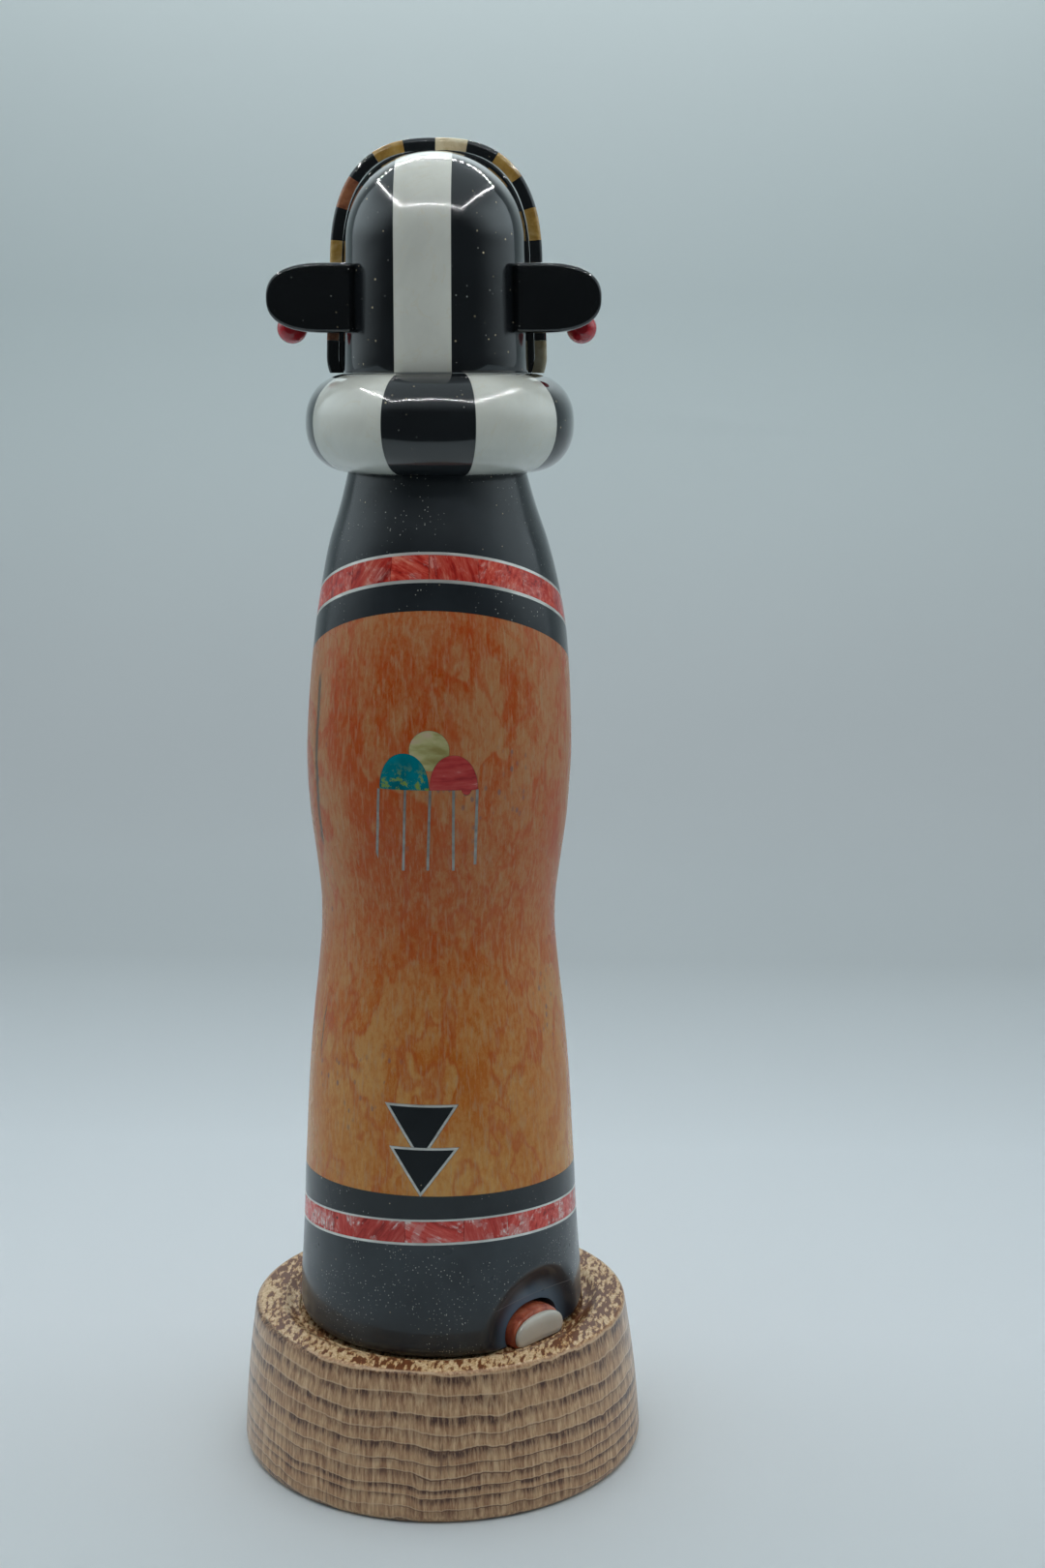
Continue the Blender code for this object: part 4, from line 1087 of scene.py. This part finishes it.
# %% Foot outline and the openings
FOOT_HALF, FOOT_WIDEST, FOOT_CROWN = 7.7, 2.6, 5.5
SOLE_FACE = sqrt(BODY_FOOT ** 2 - FOOT_HALF ** 2)
FOOT_ROOM, ROOM_ASIDE, ROOM_DEEP = 0.95, 0.35, 11.0


def foot_outline(grow=0.0, count=40):
    """Arched outline of a foot, flat where it stands."""
    half, crown = FOOT_HALF + grow, FOOT_CROWN + grow
    start = -FOOT_WIDEST / crown * pi / 3
    points = []
    for i in range(count + 1):
        x, z = superellipse(start + (pi - 2 * start) * i / count, half, crown, 2.2)
        points.append((x, max(SEAT + FOOT_WIDEST + z, SEAT - grow)))
    points[0] = (points[1][0] * 0.9, SEAT - grow)
    points[-1] = (points[-2][0] * 0.9, SEAT - grow)
    return points


skirt = bench("skirt_blank", skirt_bm)
openings = []
for side, turn in FEET.items():
    shape = [(x + ROOM_ASIDE, z) for x, z in foot_outline(FOOT_ROOM)]
    opening = prism(shape, -(SOLE_FACE - ROOM_DEEP), -50.0)
    turn_about_axis(opening, turn)
    openings.append((TAKE, bench("opening_" + side, opening)))
hand_over("skirt_stone", carved(skirt, openings), SKIRT_BLACK, "black_stone", ["skirt"], 42.0)

# %% [markdown]
# ## Feet
#
# The back foot shows its pale sole, a slightly domed plate on the end of a glossy moccasin. The
# front one, on the hidden side, shows its toe on a thin sole. Each is a stack of outlines, made
# by extruding a ring of edges and moving each new ring to the next outline.

# %% Helpers that stack outlines
def stacked(rings):
    """Extrude a ring of edges through a list of rings of points in mm, and close both ends."""
    bm = bmesh.new()
    verts = [bm.verts.new(Vector(p) * MM) for p in rings[0]]
    edges = [bm.edges.new(pair) for pair in zip(verts, verts[1:] + verts[:1])]
    bm.faces.new(verts)
    for ring in rings[1:]:
        grown = bmesh.ops.extrude_edge_only(bm, edges=edges)["geom"]
        fresh = [g for g in grown if isinstance(g, bmesh.types.BMVert)]
        order = []
        for old in verts:
            near = [e.other_vert(old) for e in old.link_edges if e.other_vert(old) in fresh]
            order.append(near[0])
        for vert, point in zip(order, ring):
            vert.co = Vector(point) * MM
        edges = [bm.edges.get(pair) for pair in zip(order, order[1:] + order[:1])]
        verts = order
    bm.faces.new(verts)
    return bm


def shrunk(outline, reach, scale, lift=0.0, squash=1.0):
    """An outline stood up at a distance from the axis, shrunk about the middle of its foot."""
    return [(x * scale, -reach, SEAT + lift + (z - SEAT) * scale * squash) for x, z in outline]


# %% Make the back foot and its sole
foot = foot_outline()
sole_outline = [(x, SEAT + 0.6 + (z - SEAT) * 0.78) for x, z in foot]
heel = SOLE_FACE - 1.3
moccasin = stacked([
    shrunk(foot, heel - depth, scale) for depth, scale in (
        (0.02, 0.93), (0.12, 0.965), (0.5, 0.985), (1.5, 1.0), (3.2, 1.0), (5.5, 0.985), (9.0, 0.94)
    )
])
hand_over(
    "moccasin_back", moccasin, MOCCASIN, "moccasin_stone", ["moccasin_right"], turn=FEET["right"]
)
sole_rings = []
for rise, scale in (
    (0.02, 0.95), (0.12, 0.985), (0.4, 1.0), (0.75, 1.0), (1.02, 0.985), (1.2, 0.95)
):
    sole_rings.append(shrunk(sole_outline, heel + rise, scale))
for scale, rise in ((0.88, 1.3), (0.7, 1.4), (0.45, 1.46), (0.2, 1.5)):
    spots = [(x * scale, SEAT + 3.2 + (z - SEAT - 3.2) * scale) for x, z in sole_outline]
    sole_rings.append([(x, -(heel + rise), z) for x, z in spots])
sole = stacked(sole_rings)
hand_over("sole_back", sole, SOLE_WHITE, "white_stone", ["sole_right"], 60.0, FEET["right"])

# %% Make the front foot and its sole
TOE_LIFT, TOE_LONG = 1.6, 4.95
squash = 1 - TOE_LIFT / (FOOT_WIDEST + FOOT_CROWN)
toe_rings = []
for reach, scale in (
    (0.0, 0.42), (0.02, 0.56), (0.07, 0.7), (0.15, 0.82), (0.28, 0.92), (0.45, 0.98), (1.0, 1.0)
):
    toe_rings.append(shrunk(foot, SOLE_FACE - 0.35 - 9.0 * reach, scale, TOE_LIFT - 0.3, squash))
toe = stacked(toe_rings)
hand_over("moccasin_front", toe, MOCCASIN, "moccasin_stone", ["moccasin_left"], 60.0, FEET["left"])
tip, instep, middle = SOLE_FACE - TOE_LONG, SOLE_FACE - 9.0, SOLE_FACE - 4.5
plan = [superellipse(pi * i / 32, FOOT_HALF, TOE_LONG, 2.6) for i in range(33)]
plan = [(x, -(tip + y)) for x, y in plan] + [(-FOOT_HALF, -instep), (FOOT_HALF, -instep)]
front_rings = []
for z, inset in ((0.0, 0.965), (0.15, 0.99), (0.4, 1.0), (0.9, 1.0), (1.15, 0.99), (1.3, 0.965)):
    front_rings.append([(x * inset, (y + middle) * inset - middle, SEAT + z) for x, y in plan])
sole = stacked(front_rings)
hand_over("sole_front", sole, SOLE_WHITE, "white_stone", ["sole_left"], 60.0, FEET["left"])

# %% [markdown]
# ## Ruff
#
# A thick ring with a full round rim, glued up from eight wedges of black and white stone and
# then turned. So we turn it whole and split it with upright planes, as the wedges meet.

# %% Turn and split the ruff
RUFF_FOOT, RUFF_TALL, RUFF_WIDE, RUFF_FLAT, RUFF_X = 231.03, 21.87, 30.1, 19.4, 0.8
WEDGES = (39.5, 43.0, 52.0, 44.0, 42.0, 44.0, 52.5, 43.0)  # degrees, from the back
ruff_outline = [(0.0, RUFF_FOOT + RUFF_TALL)]
for i in range(33):
    out, up = superellipse(pi / 2 - pi * i / 32, RUFF_WIDE - RUFF_FLAT, RUFF_TALL / 2, 2.2)
    ruff_outline.append((RUFF_FLAT + out, RUFF_FOOT + RUFF_TALL / 2 + up))
ruff_form = to_mesh("ruff_form", turned(ruff_outline + [(0.0, RUFF_FOOT)]))
start = -WEDGES[0] / 2
for number, share in enumerate(WEDGES):
    wedge = sector(ruff_form, start, start + share, TIGHT)
    bmesh.ops.translate(wedge, verts=wedge.verts, vec=(RUFF_X * MM, 0.0, 0.0))
    finish, slot = (WHITE, "white_stone") if number % 2 else (HEAD_BLACK, "black_stone")
    hand_over(f"ruff_wedge_{number + 1}", wedge, finish, slot, [f"ruff_stone_{number + 1}"])
    start += share

# %% [markdown]
# ## Back of the head
#
# A turned bullet shape, split into a white slab between two black ones and cut flat in front,
# where it meets the face. The whole head stands turned by 3 degrees.

# %% Turn the dome and split it into slabs
HEAD_FOOT, DOME_TALL, DOME_R, DOME_FOOT_R = 252.95, 47.9, 20.1, 20.7
HEAD_TURN = radians(3.0)
FACE_BACK, FACE_THICK = 3.0, 8.0
STRIPE_LEFT, STRIPE_RIGHT = -8.35, 4.1


def dome_outline(grow=0.0):
    spring, foot, out = HEAD_FOOT + DOME_TALL - DOME_R, HEAD_FOOT - grow, DOME_FOOT_R + grow
    points = []
    for i in range(33):
        x, z = superellipse(pi / 2 * (1 - i / 32), DOME_R + grow, DOME_R + grow, 2.12)
        points.append((x if i else 0.0, spring + z))
    side_foot = (out, HEAD_FOOT + 0.4)
    points += between((DOME_R + grow, spring), side_foot, 8) + [side_foot]
    return points + [(out - 0.12, foot + 0.12), (out - 0.4, foot), (0.0, foot)]


dome_form = to_mesh("dome_form", turned(dome_outline()))
for name, low, high, finish, slot in (
    ("head_back_left", None, STRIPE_LEFT, HEAD_BLACK, "black_stone"),
    ("head_back_stripe", STRIPE_LEFT, STRIPE_RIGHT, WHITE, "white_stone"),
    ("head_back_right", STRIPE_RIGHT, None, HEAD_BLACK, "black_stone"),
):
    slab = copy_of(dome_form)
    cut_away(slab, Vector((0.0, (FACE_BACK - 0.05) * MM, 0.0)), Vector((0.0, 1.0, 0.0)))
    if low is not None:
        cut_away(slab, Vector(((low + TIGHT) * MM, 0.0, 0.0)), Vector((-1.0, 0.0, 0.0)))
    if high is not None:
        cut_away(slab, Vector(((high - TIGHT) * MM, 0.0, 0.0)), Vector((1.0, 0.0, 0.0)))
    hand_over(name + "_slab", slab, finish, slot, [name], turn=HEAD_TURN)

# %% [markdown]
# ## Face plate
#
# The face is a black plate with an arched top, thicker in its middle. It is on the side that we
# don't see, so it is kept plain and calm: a smooth rise, two white eyes and a small red mouth.

# %% Outline of the face
FACE_TALL, FACE_SPRING, FACE_HALF, CHEEK, ARCH_FULL = 51.25, 21.75, 23.8, 1.05, 2.6
RIM_THICK = 2.8


def face_edge(inset=0.0):
    """The face's outline from the lower left, over the arch, to the lower right."""
    half, crown = FACE_HALF - inset, FACE_TALL - FACE_SPRING - inset
    left = []
    for i in range(18):
        share = i / 18
        corner = max(0.0, 1 - share / 0.16)
        swell = CHEEK * (cos(pi / 2 * share) - 0.65 * corner ** 2)
        left.append((-(half + swell), HEAD_FOOT + FACE_SPRING * share))
    arch = []
    for i in range(97):
        x, z = superellipse(pi - pi * i / 96, half, crown, ARCH_FULL)
        arch.append((x, HEAD_FOOT + FACE_SPRING + z))
    return left + arch + [(-x, z) for x, z in reversed(left)]


# %% Raise the face plate
PLATE_RISE, OVAL = 2.6, 0.86
FRONT = FACE_BACK + FACE_THICK
MIDDLE = HEAD_FOOT + FACE_TALL * 0.46
plate_edge = face_edge(RIM_THICK + 0.05)
plate_edge += between(plate_edge[-1], plate_edge[0], 16)


def face_ring(scale, y, roundness=0.0):
    """The edge drawn in towards the middle, and towards an oval by its roundness."""
    ring = []
    for x, z in plate_edge:
        across, up = x * scale, (z - MIDDLE) * scale
        share = scale * OVAL / hypot(across, up)
        across += (FACE_HALF * share * across - across) * roundness
        up += (FACE_TALL / 2 * share * up - up) * roundness
        ring.append((across, y, MIDDLE + up))
    return ring


rings = [
    face_ring(scale, y) for scale, y in (
        (0.985, FACE_BACK + 0.02), (1.0, FACE_BACK + 0.3), (1.0, FRONT - 0.8), (0.995, FRONT - 0.3),
        (0.978, FRONT),
    )
]
for i in range(1, 13):
    scale = 0.96 * cos(pi / 2 * i / 13)
    rise = PLATE_RISE * sqrt(1 - scale ** 2)
    rings.append(face_ring(scale, FRONT + rise, min(1.0, (0.97 - scale) * 2.4)))
plate = bench("plate_blank", stacked(rings))
plate_shape = bench("plate_form", bmesh.new())
plate_shape.data = plate.data.copy()

# %% Let in the eyes and the mouth
INLAY_BACK, SOCKET_ROOM = 10.4, 0.04


def oval(x, rise, width, height, grow=0.0):
    size = (width / 2 + grow, height / 2 + grow)
    ring = [superellipse(2 * pi * i / 40, *size, 2.6) for i in range(40)]
    return [(x + across, HEAD_FOOT + rise + up) for across, up in ring]


sockets = []
for name, shape, finish, slot in (
    ("eye_left", (-8.0, 30.0, 6.0, 2.4), WHITE, "white_stone"),
    ("eye_right", (8.0, 30.0, 6.0, 2.4), WHITE, "white_stone"),
    ("mouth", (0.0, 14.0, 5.0, 3.0), COLLAR_RED, "red_stone"),
):
    blank = bench(name + "_blank", prism(oval(*shape), INLAY_BACK, 30.0))
    stone = carved(blank, [(KEEP, plate_shape)])
    hand_over(name + "_stone", stone, finish, slot, [name], turn=HEAD_TURN)
    socket = prism(oval(*shape, SOCKET_ROOM), INLAY_BACK - 0.05, 30.0)
    sockets.append((TAKE, bench(name + "_socket", socket)))
face = carved(plate, sockets)
hand_over("face_stone", face, HEAD_BLACK, "black_stone", ["face_plate"], turn=HEAD_TURN)

# %% [markdown]
# ## Rim stones
#
# Eighteen short stones go round the face's edge, black and warm colours by turns, with their
# outer edge rounded over. Each is one section carried along its share of the outline.

# %% Walk along the edge
path = [Vector(p) for p in face_edge()]
lengths = [0.0]
for a, b in zip(path, path[1:]):
    lengths.append(lengths[-1] + (b - a).length)


def place_along(distance):
    i = 0
    while i < len(path) - 2 and distance > lengths[i + 1]:
        i += 1
    return path[i].lerp(path[i + 1], (distance - lengths[i]) / (lengths[i + 1] - lengths[i]))


def frame_along(distance):
    """A place on the edge, the direction along it and the direction inwards."""
    reach = lengths[-1] * 0.012
    before = place_along(max(distance - reach, 0.0))
    after = place_along(min(distance + reach, lengths[-1]))
    along = (after - before).normalized()
    inward = Vector((along.y, -along.x))
    if not 0.0 < distance < lengths[-1]:
        along = Vector((0.0, 1.0 if distance <= 0.0 else -1.0))
        inward = Vector((along.y, 0.0))
    return place_along(distance), along, inward


# %% Carry the section along the edge
BACK_ROUND, FRONT_ROUND = 1.15, 0.9
SECTION = [(RIM_THICK, FACE_BACK)]
SECTION += arc((BACK_ROUND, FACE_BACK + BACK_ROUND), BACK_ROUND, BACK_ROUND, -90, -180, 6)
SECTION += arc((FRONT_ROUND, FRONT - FRONT_ROUND), FRONT_ROUND, FRONT_ROUND, 180, 90, 4)
SECTION.append((RIM_THICK, FRONT))
RIM_FINISHES = {
    "black": (HEAD_BLACK, "black_stone"), "apricot": (APRICOT, "apricot_stone"),
    "gold": (GOLD, "gold_stone"), "cream": (CREAM, "cream_stone"),
}
order = []
for colour in "apricot gold apricot gold cream gold gold gold cream".split():
    order += ["black", colour]
for number, colour in enumerate(order):
    rings = []
    for i in range(9):
        place, along, inward = frame_along(lengths[-1] * (number + i / 8) / len(order))
        if i == 0 and number > 0:
            place = place + along * TIGHT
        if i == 8 and number < len(order) - 1:
            place = place - along * TIGHT
        spots = [(place + inward * depth, y) for depth, y in SECTION]
        rings.append([(spot.x, y, spot.y) for spot, y in spots])
    name, node = f"rim_{number + 1:02d}_{colour}", f"rim_stone_{number + 1:02d}"
    hand_over(name, stacked(rings), *RIM_FINISHES[colour], [node], turn=HEAD_TURN)

# %% [markdown]
# ## Ears and beads
#
# The ears are thick tongues of black stone, hollowed where they lap on the dome. Their edges are
# eased, and the inner end rolls over onto the dome. We stack inset copies of the outline, with
# more inset at the inner end, and take the dome out of the result.

# %% Outline of the ears
EAR_REACH, EAR_IN, EAR_TALL, EAR_UP, EAR_BACK, EAR_FRONT = 36.5, 16.8, 14.9, 16.05, 12.3, 2.7
EAR_TIP, EAR_CORNER, EAR_ROLL = 13.0, 1.6, 3.5


def ear_edge():
    """The ear's outline from the top of its tip round to its inner end, for the +X side."""
    half, tip, corner = EAR_TALL / 2, EAR_REACH - EAR_TIP, EAR_IN + EAR_CORNER
    points = []
    for i in range(49):
        x, z = superellipse(pi / 2 - pi * i / 48, EAR_TIP, half, 2.5)
        points.append((tip + x, z))
    low, high = -half + EAR_CORNER, half - EAR_CORNER
    points += between((tip, -half), (corner, -half), 6)
    points += arc((corner, low), EAR_CORNER, EAR_CORNER, -90, -180, 8)
    points += between((EAR_IN, low), (EAR_IN, high), 8)
    points += arc((corner, high), EAR_CORNER, EAR_CORNER, 180, 90, 8)
    points += between((corner, half), (tip, half), 6)
    return [Vector(p) for p in points]


def ear_ring(edge, face, way, turn, small, wide):
    """The outline eased in from a flat face by its edge rounding, at one step of the turn."""
    ring = []
    for i, spot in enumerate(edge):
        along = (edge[(i + 1) % len(edge)] - edge[i - 1]).normalized()
        inward = Vector((along.y, -along.x))
        nearness = min(max((EAR_IN + EAR_ROLL - spot.x) / EAR_ROLL, 0.0), 1.0) * max(along.y, 0.0)
        radius = small + (wide - small) * nearness
        place = spot + inward * radius * (1 - sin(turn))
        ring.append((place.x, face + way * radius * (1 - cos(turn)), HEAD_FOOT + EAR_UP + place.y))
    return ring


# %% Shape the ears
edge = ear_edge()
ear_rings = [ear_ring(edge, -EAR_BACK, 1, radians(90 * i / 6), 0.9, 3.2) for i in range(7)]
ear_rings += [ear_ring(edge, EAR_FRONT, -1, radians(90 - 90 * i / 4), 0.8, 0.8) for i in range(5)]
dome_tool = bench("dome_tool", turned(dome_outline(0.03)))
for side, sign in (("left", -1), ("right", 1)):
    ear_bm = stacked(ear_rings)
    if sign < 0:
        bmesh.ops.scale(ear_bm, vec=(-1, 1, 1), verts=ear_bm.verts)
        bmesh.ops.reverse_faces(ear_bm, faces=ear_bm.faces)
    ear_bm = carved(bench("ear_blank_" + side, ear_bm), [(TAKE, dome_tool)])
    node = "ear_" + side
    hand_over(node + "_stone", ear_bm, EAR_BLACK, "black_stone", [node], 50.0, HEAD_TURN)

# %% [markdown]
# A coral bead hangs at the front of each ear. It is nearly round, with a flat where it is glued
# to the ear, so we turn it round a level axis that points at the ear.

# %% Turn the beads
BEAD, BEAD_IN, BEAD_UP = 3.45, 3.9, 1.3
flat = 0.93 * BEAD  # from the bead's middle to its glued face
for side, sign in (("left", -1), ("right", 1)):
    outline = [(0.0, -flat), (0.36 * BEAD, -flat)] + arc((0.0, 0.0), BEAD, BEAD, -66, 84, 25)
    bead = turned(outline + [(0.0, BEAD)], 48)
    turn_about_axis(bead, radians(-90), "X")
    height = HEAD_FOOT + EAR_UP - EAR_TALL / 2 + BEAD_UP
    spot = Vector((sign * (EAR_REACH - BEAD_IN), EAR_FRONT + flat + 0.05, height))
    bmesh.ops.translate(bead, verts=bead.verts, vec=spot * MM)
    node = "ear_bead_" + side
    hand_over(node + "_stone", bead, CORAL, "coral_bead", [node], turn=HEAD_TURN)

# %% [markdown]
# ## Clear the bench
#
# The work objects were only tools. They go before the scene is shown, so that nothing but the
# finished pieces is left on the frame.

# %% Remove the work objects
for tool in BENCH:
    bpy.data.objects.remove(tool, do_unlink=True)
finished = [o for o in bpy.data.objects if "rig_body" in o.keys()]
print(len(BENCH), "tools cleared,", len(finished), "pieces left")

# %% [markdown]
# ## Studio
#
# The photograph was taken in a pale light tent with an open front. A seamless sheet makes floor
# and background, with painted shade that darkens it near the camera and where the floor turns up
# into the wall. The tent's front is only there to be seen from behind, so its sheet casts no
# reflections, and the polished stone mirrors the dark opening instead.

# %% Finish of the seamless sheet
SHEET, sheet = start_finish("backdrop_sheet", Roughness=0.8)
sheet_axes = axes_of(coordinates(sheet))
# Painted shade: the floor is darker towards the camera and towards the wall; above 0.3 m the sheet
# takes the even wall tone
floor_tone_painted_shade = colours(
    times(plus(sheet_axes[1], 0.2), 1.25), (0.1, (0.625, 0.665, 0.68)), (0.32, (0.78, 0.81, 0.84)),
    (0.5, (0.78, 0.81, 0.84)), (0.8, (0.52, 0.545, 0.56)),
)
shaded = layer(fade(sheet_axes[2], 0.0, 0.30), floor_tone_painted_shade, (0.71, 0.80, 0.81))
soft = fade(cloudy(coordinates(sheet), 3.0, 2.0), 0.3, 0.7, 0.0, 0.04)
wire(sheet, Base_Color=layer(soft, shaded, (0.90, 0.92, 0.95)))

# %% Seamless backdrop
SEAM, COVE, WALL, WALL_TOP, SHEET_HALF = -0.45, 0.62, 0.92, 1.6, 1.4


def hang_sheet(name, side, reflected):
    """Carry a (y, z) outline in metres across, as one sheet of the backdrop."""
    bm = bmesh.new()
    verts = [bm.verts.new((-SHEET_HALF, y, z)) for y, z in side]
    edges = [bm.edges.new(pair) for pair in zip(verts, verts[1:])]
    across = bmesh.ops.extrude_edge_only(bm, edges=edges)["geom"]
    fresh = [g for g in across if isinstance(g, bmesh.types.BMVert)]
    bmesh.ops.translate(bm, verts=fresh, vec=(2 * SHEET_HALF, 0.0, 0.0))
    bmesh.ops.recalc_face_normals(bm, faces=bm.faces)
    mesh = to_mesh(name, bm)
    mesh.shade_smooth()
    mesh.materials.append(SHEET)
    hung = link(name, mesh)
    hung.visible_glossy = hung.visible_diffuse = reflected


rise = arc((COVE, WALL - COVE), WALL - COVE, WALL - COVE, -84, 0, 14)
hang_sheet("backdrop", [(SEAM, 0.0), (COVE, 0.0), *rise, (WALL, WALL_TOP)], True)
front = [(-y, z) for y, z in rise]
hang_sheet("backdrop_front", [(SEAM, 0.0), (-COVE, 0.0), *front, (-WALL, WALL_TOP)], False)

# %% [markdown]
# The stone shows the lights as well as the light. Its bright sides mirror the tent's walls, which
# the world paints, and its highlights mirror a square of lamp rows made of small dots. A wide
# lamp behind the figure washes the back of the sheet and isn't seen in the stone.

# %% World
def tent():
    """A pale world: bright side walls, a paler top and a dark opening towards the camera."""
    world = bpy.data.worlds.new("light_tent")
    bpy.context.scene.world = world
    world.use_nodes = True
    tree = world.node_tree
    axes = axes_of(put("TexCoord", {}, tree).outputs["Generated"])
    walled = fade(plus(axes[1], times(axes[2], 0.6)), -0.55, 0.3)
    opening = fade(axes[2], 0.35, 0.75, 0.045, 0.46)
    far = fade(axes[1], 0.0, 0.5, 0.38, 0.55)
    walls = plus(fade(axes[2], 0.0, 0.28, far, 1.15), fade(axes[2], 0.4, 0.7, 0.0, -0.60))
    ground = tree.nodes["Background"]
    ground.inputs["Color"].default_value = (0.78, 0.92, 0.975, 1.0)
    wire(ground, Strength=plus(opening, times(walled, minus(walls, opening))))


tent()

# %% Lamps
LAMPS_UP, HALF_WIDE, FRONT_ROW, BACK_ROW, THIN = 0.46, 0.176, -0.2, 0.13, 0.004
MID_ROW, DEEP = (FRONT_ROW + BACK_ROW) / 2, BACK_ROW - FRONT_ROW
DOT_GLOW = 5.0


def area_lamp(name, place, size, watts):
    data = bpy.data.lights.new(name, "AREA")
    data.shape = "RECTANGLE"
    data.size, data.size_y = size
    data.energy = watts
    lamp = link(name, data)
    lamp.location = place
    lamp.visible_camera = False
    return lamp


def lamp_row(name, middle, size, watts, dots):
    """A long thin area lamp whose light comes from a row of dots."""
    lamp = area_lamp(name, middle, size, watts)
    lamp.data.use_nodes = True
    tree = lamp.data.node_tree
    glow = next(n for n in tree.nodes if n.bl_idname == "ShaderNodeEmission")
    axes = axes_of(put("NewGeometry", {}, tree).outputs["Position"])
    way = 0 if size[0] > size[1] else 1
    run = times(minus(axes[way], middle[way] - size[way] / 2), dots / size[way])
    wire(glow, Strength=fade(off(maths("FRACT", run), 0.5), 0.12, 0.08, 0.0, DOT_GLOW))


for name, y in (("row_back", BACK_ROW), ("row_front", FRONT_ROW)):
    lamp_row(name, (0.0, y, LAMPS_UP), (2 * HALF_WIDE, THIN), 0.25, 20)
for name, x in (("row_left", -HALF_WIDE), ("row_right", HALF_WIDE)):
    lamp_row(name, (x, MID_ROW, LAMPS_UP), (THIN, DEEP), 0.21, 19)
wall_wash = area_lamp("wall_wash", (0.0, 0.55, 1.0), (1.2, 0.2), 5.8)
wall_wash.rotation_euler = Vector((0.0, 1.0, -0.35)).to_track_quat("-Z", "Y").to_euler()
wall_wash.visible_glossy = False

# %% [markdown]
# ## Camera
#
# The camera stands half a metre behind the figure, a little to its side, and looks down by 10.5
# degrees. Its focal length was fitted to the photograph's ellipses, in pixels of its height.

# %% Camera
AZIMUTH, TILT = radians(3.0), radians(10.5)
FOCAL, PHOTO_TALL, SENSOR = 2280.0, 1620.0, 36.0
DISTANCE, ASIDE, EYE_LEVEL = 0.502, 0.0193, 0.2525
right = Vector((cos(AZIMUTH), sin(AZIMUTH), 0.0))
back = Vector((sin(AZIMUTH), -cos(AZIMUTH), 0.0))
lens = bpy.data.cameras.new("camera")
lens.lens = FOCAL * SENSOR / PHOTO_TALL
lens.sensor_width = SENSOR
camera = link("camera", lens)
camera.location = back * DISTANCE + right * ASIDE + Vector((0.0, 0.0, EYE_LEVEL))
look = -back * cos(TILT) - Vector((0.0, 0.0, 1.0)) * sin(TILT)
camera.rotation_euler = look.to_track_quat("-Z", "Y").to_euler()
bpy.context.scene.camera = camera
bpy.context.scene.view_settings.view_transform = "Standard"
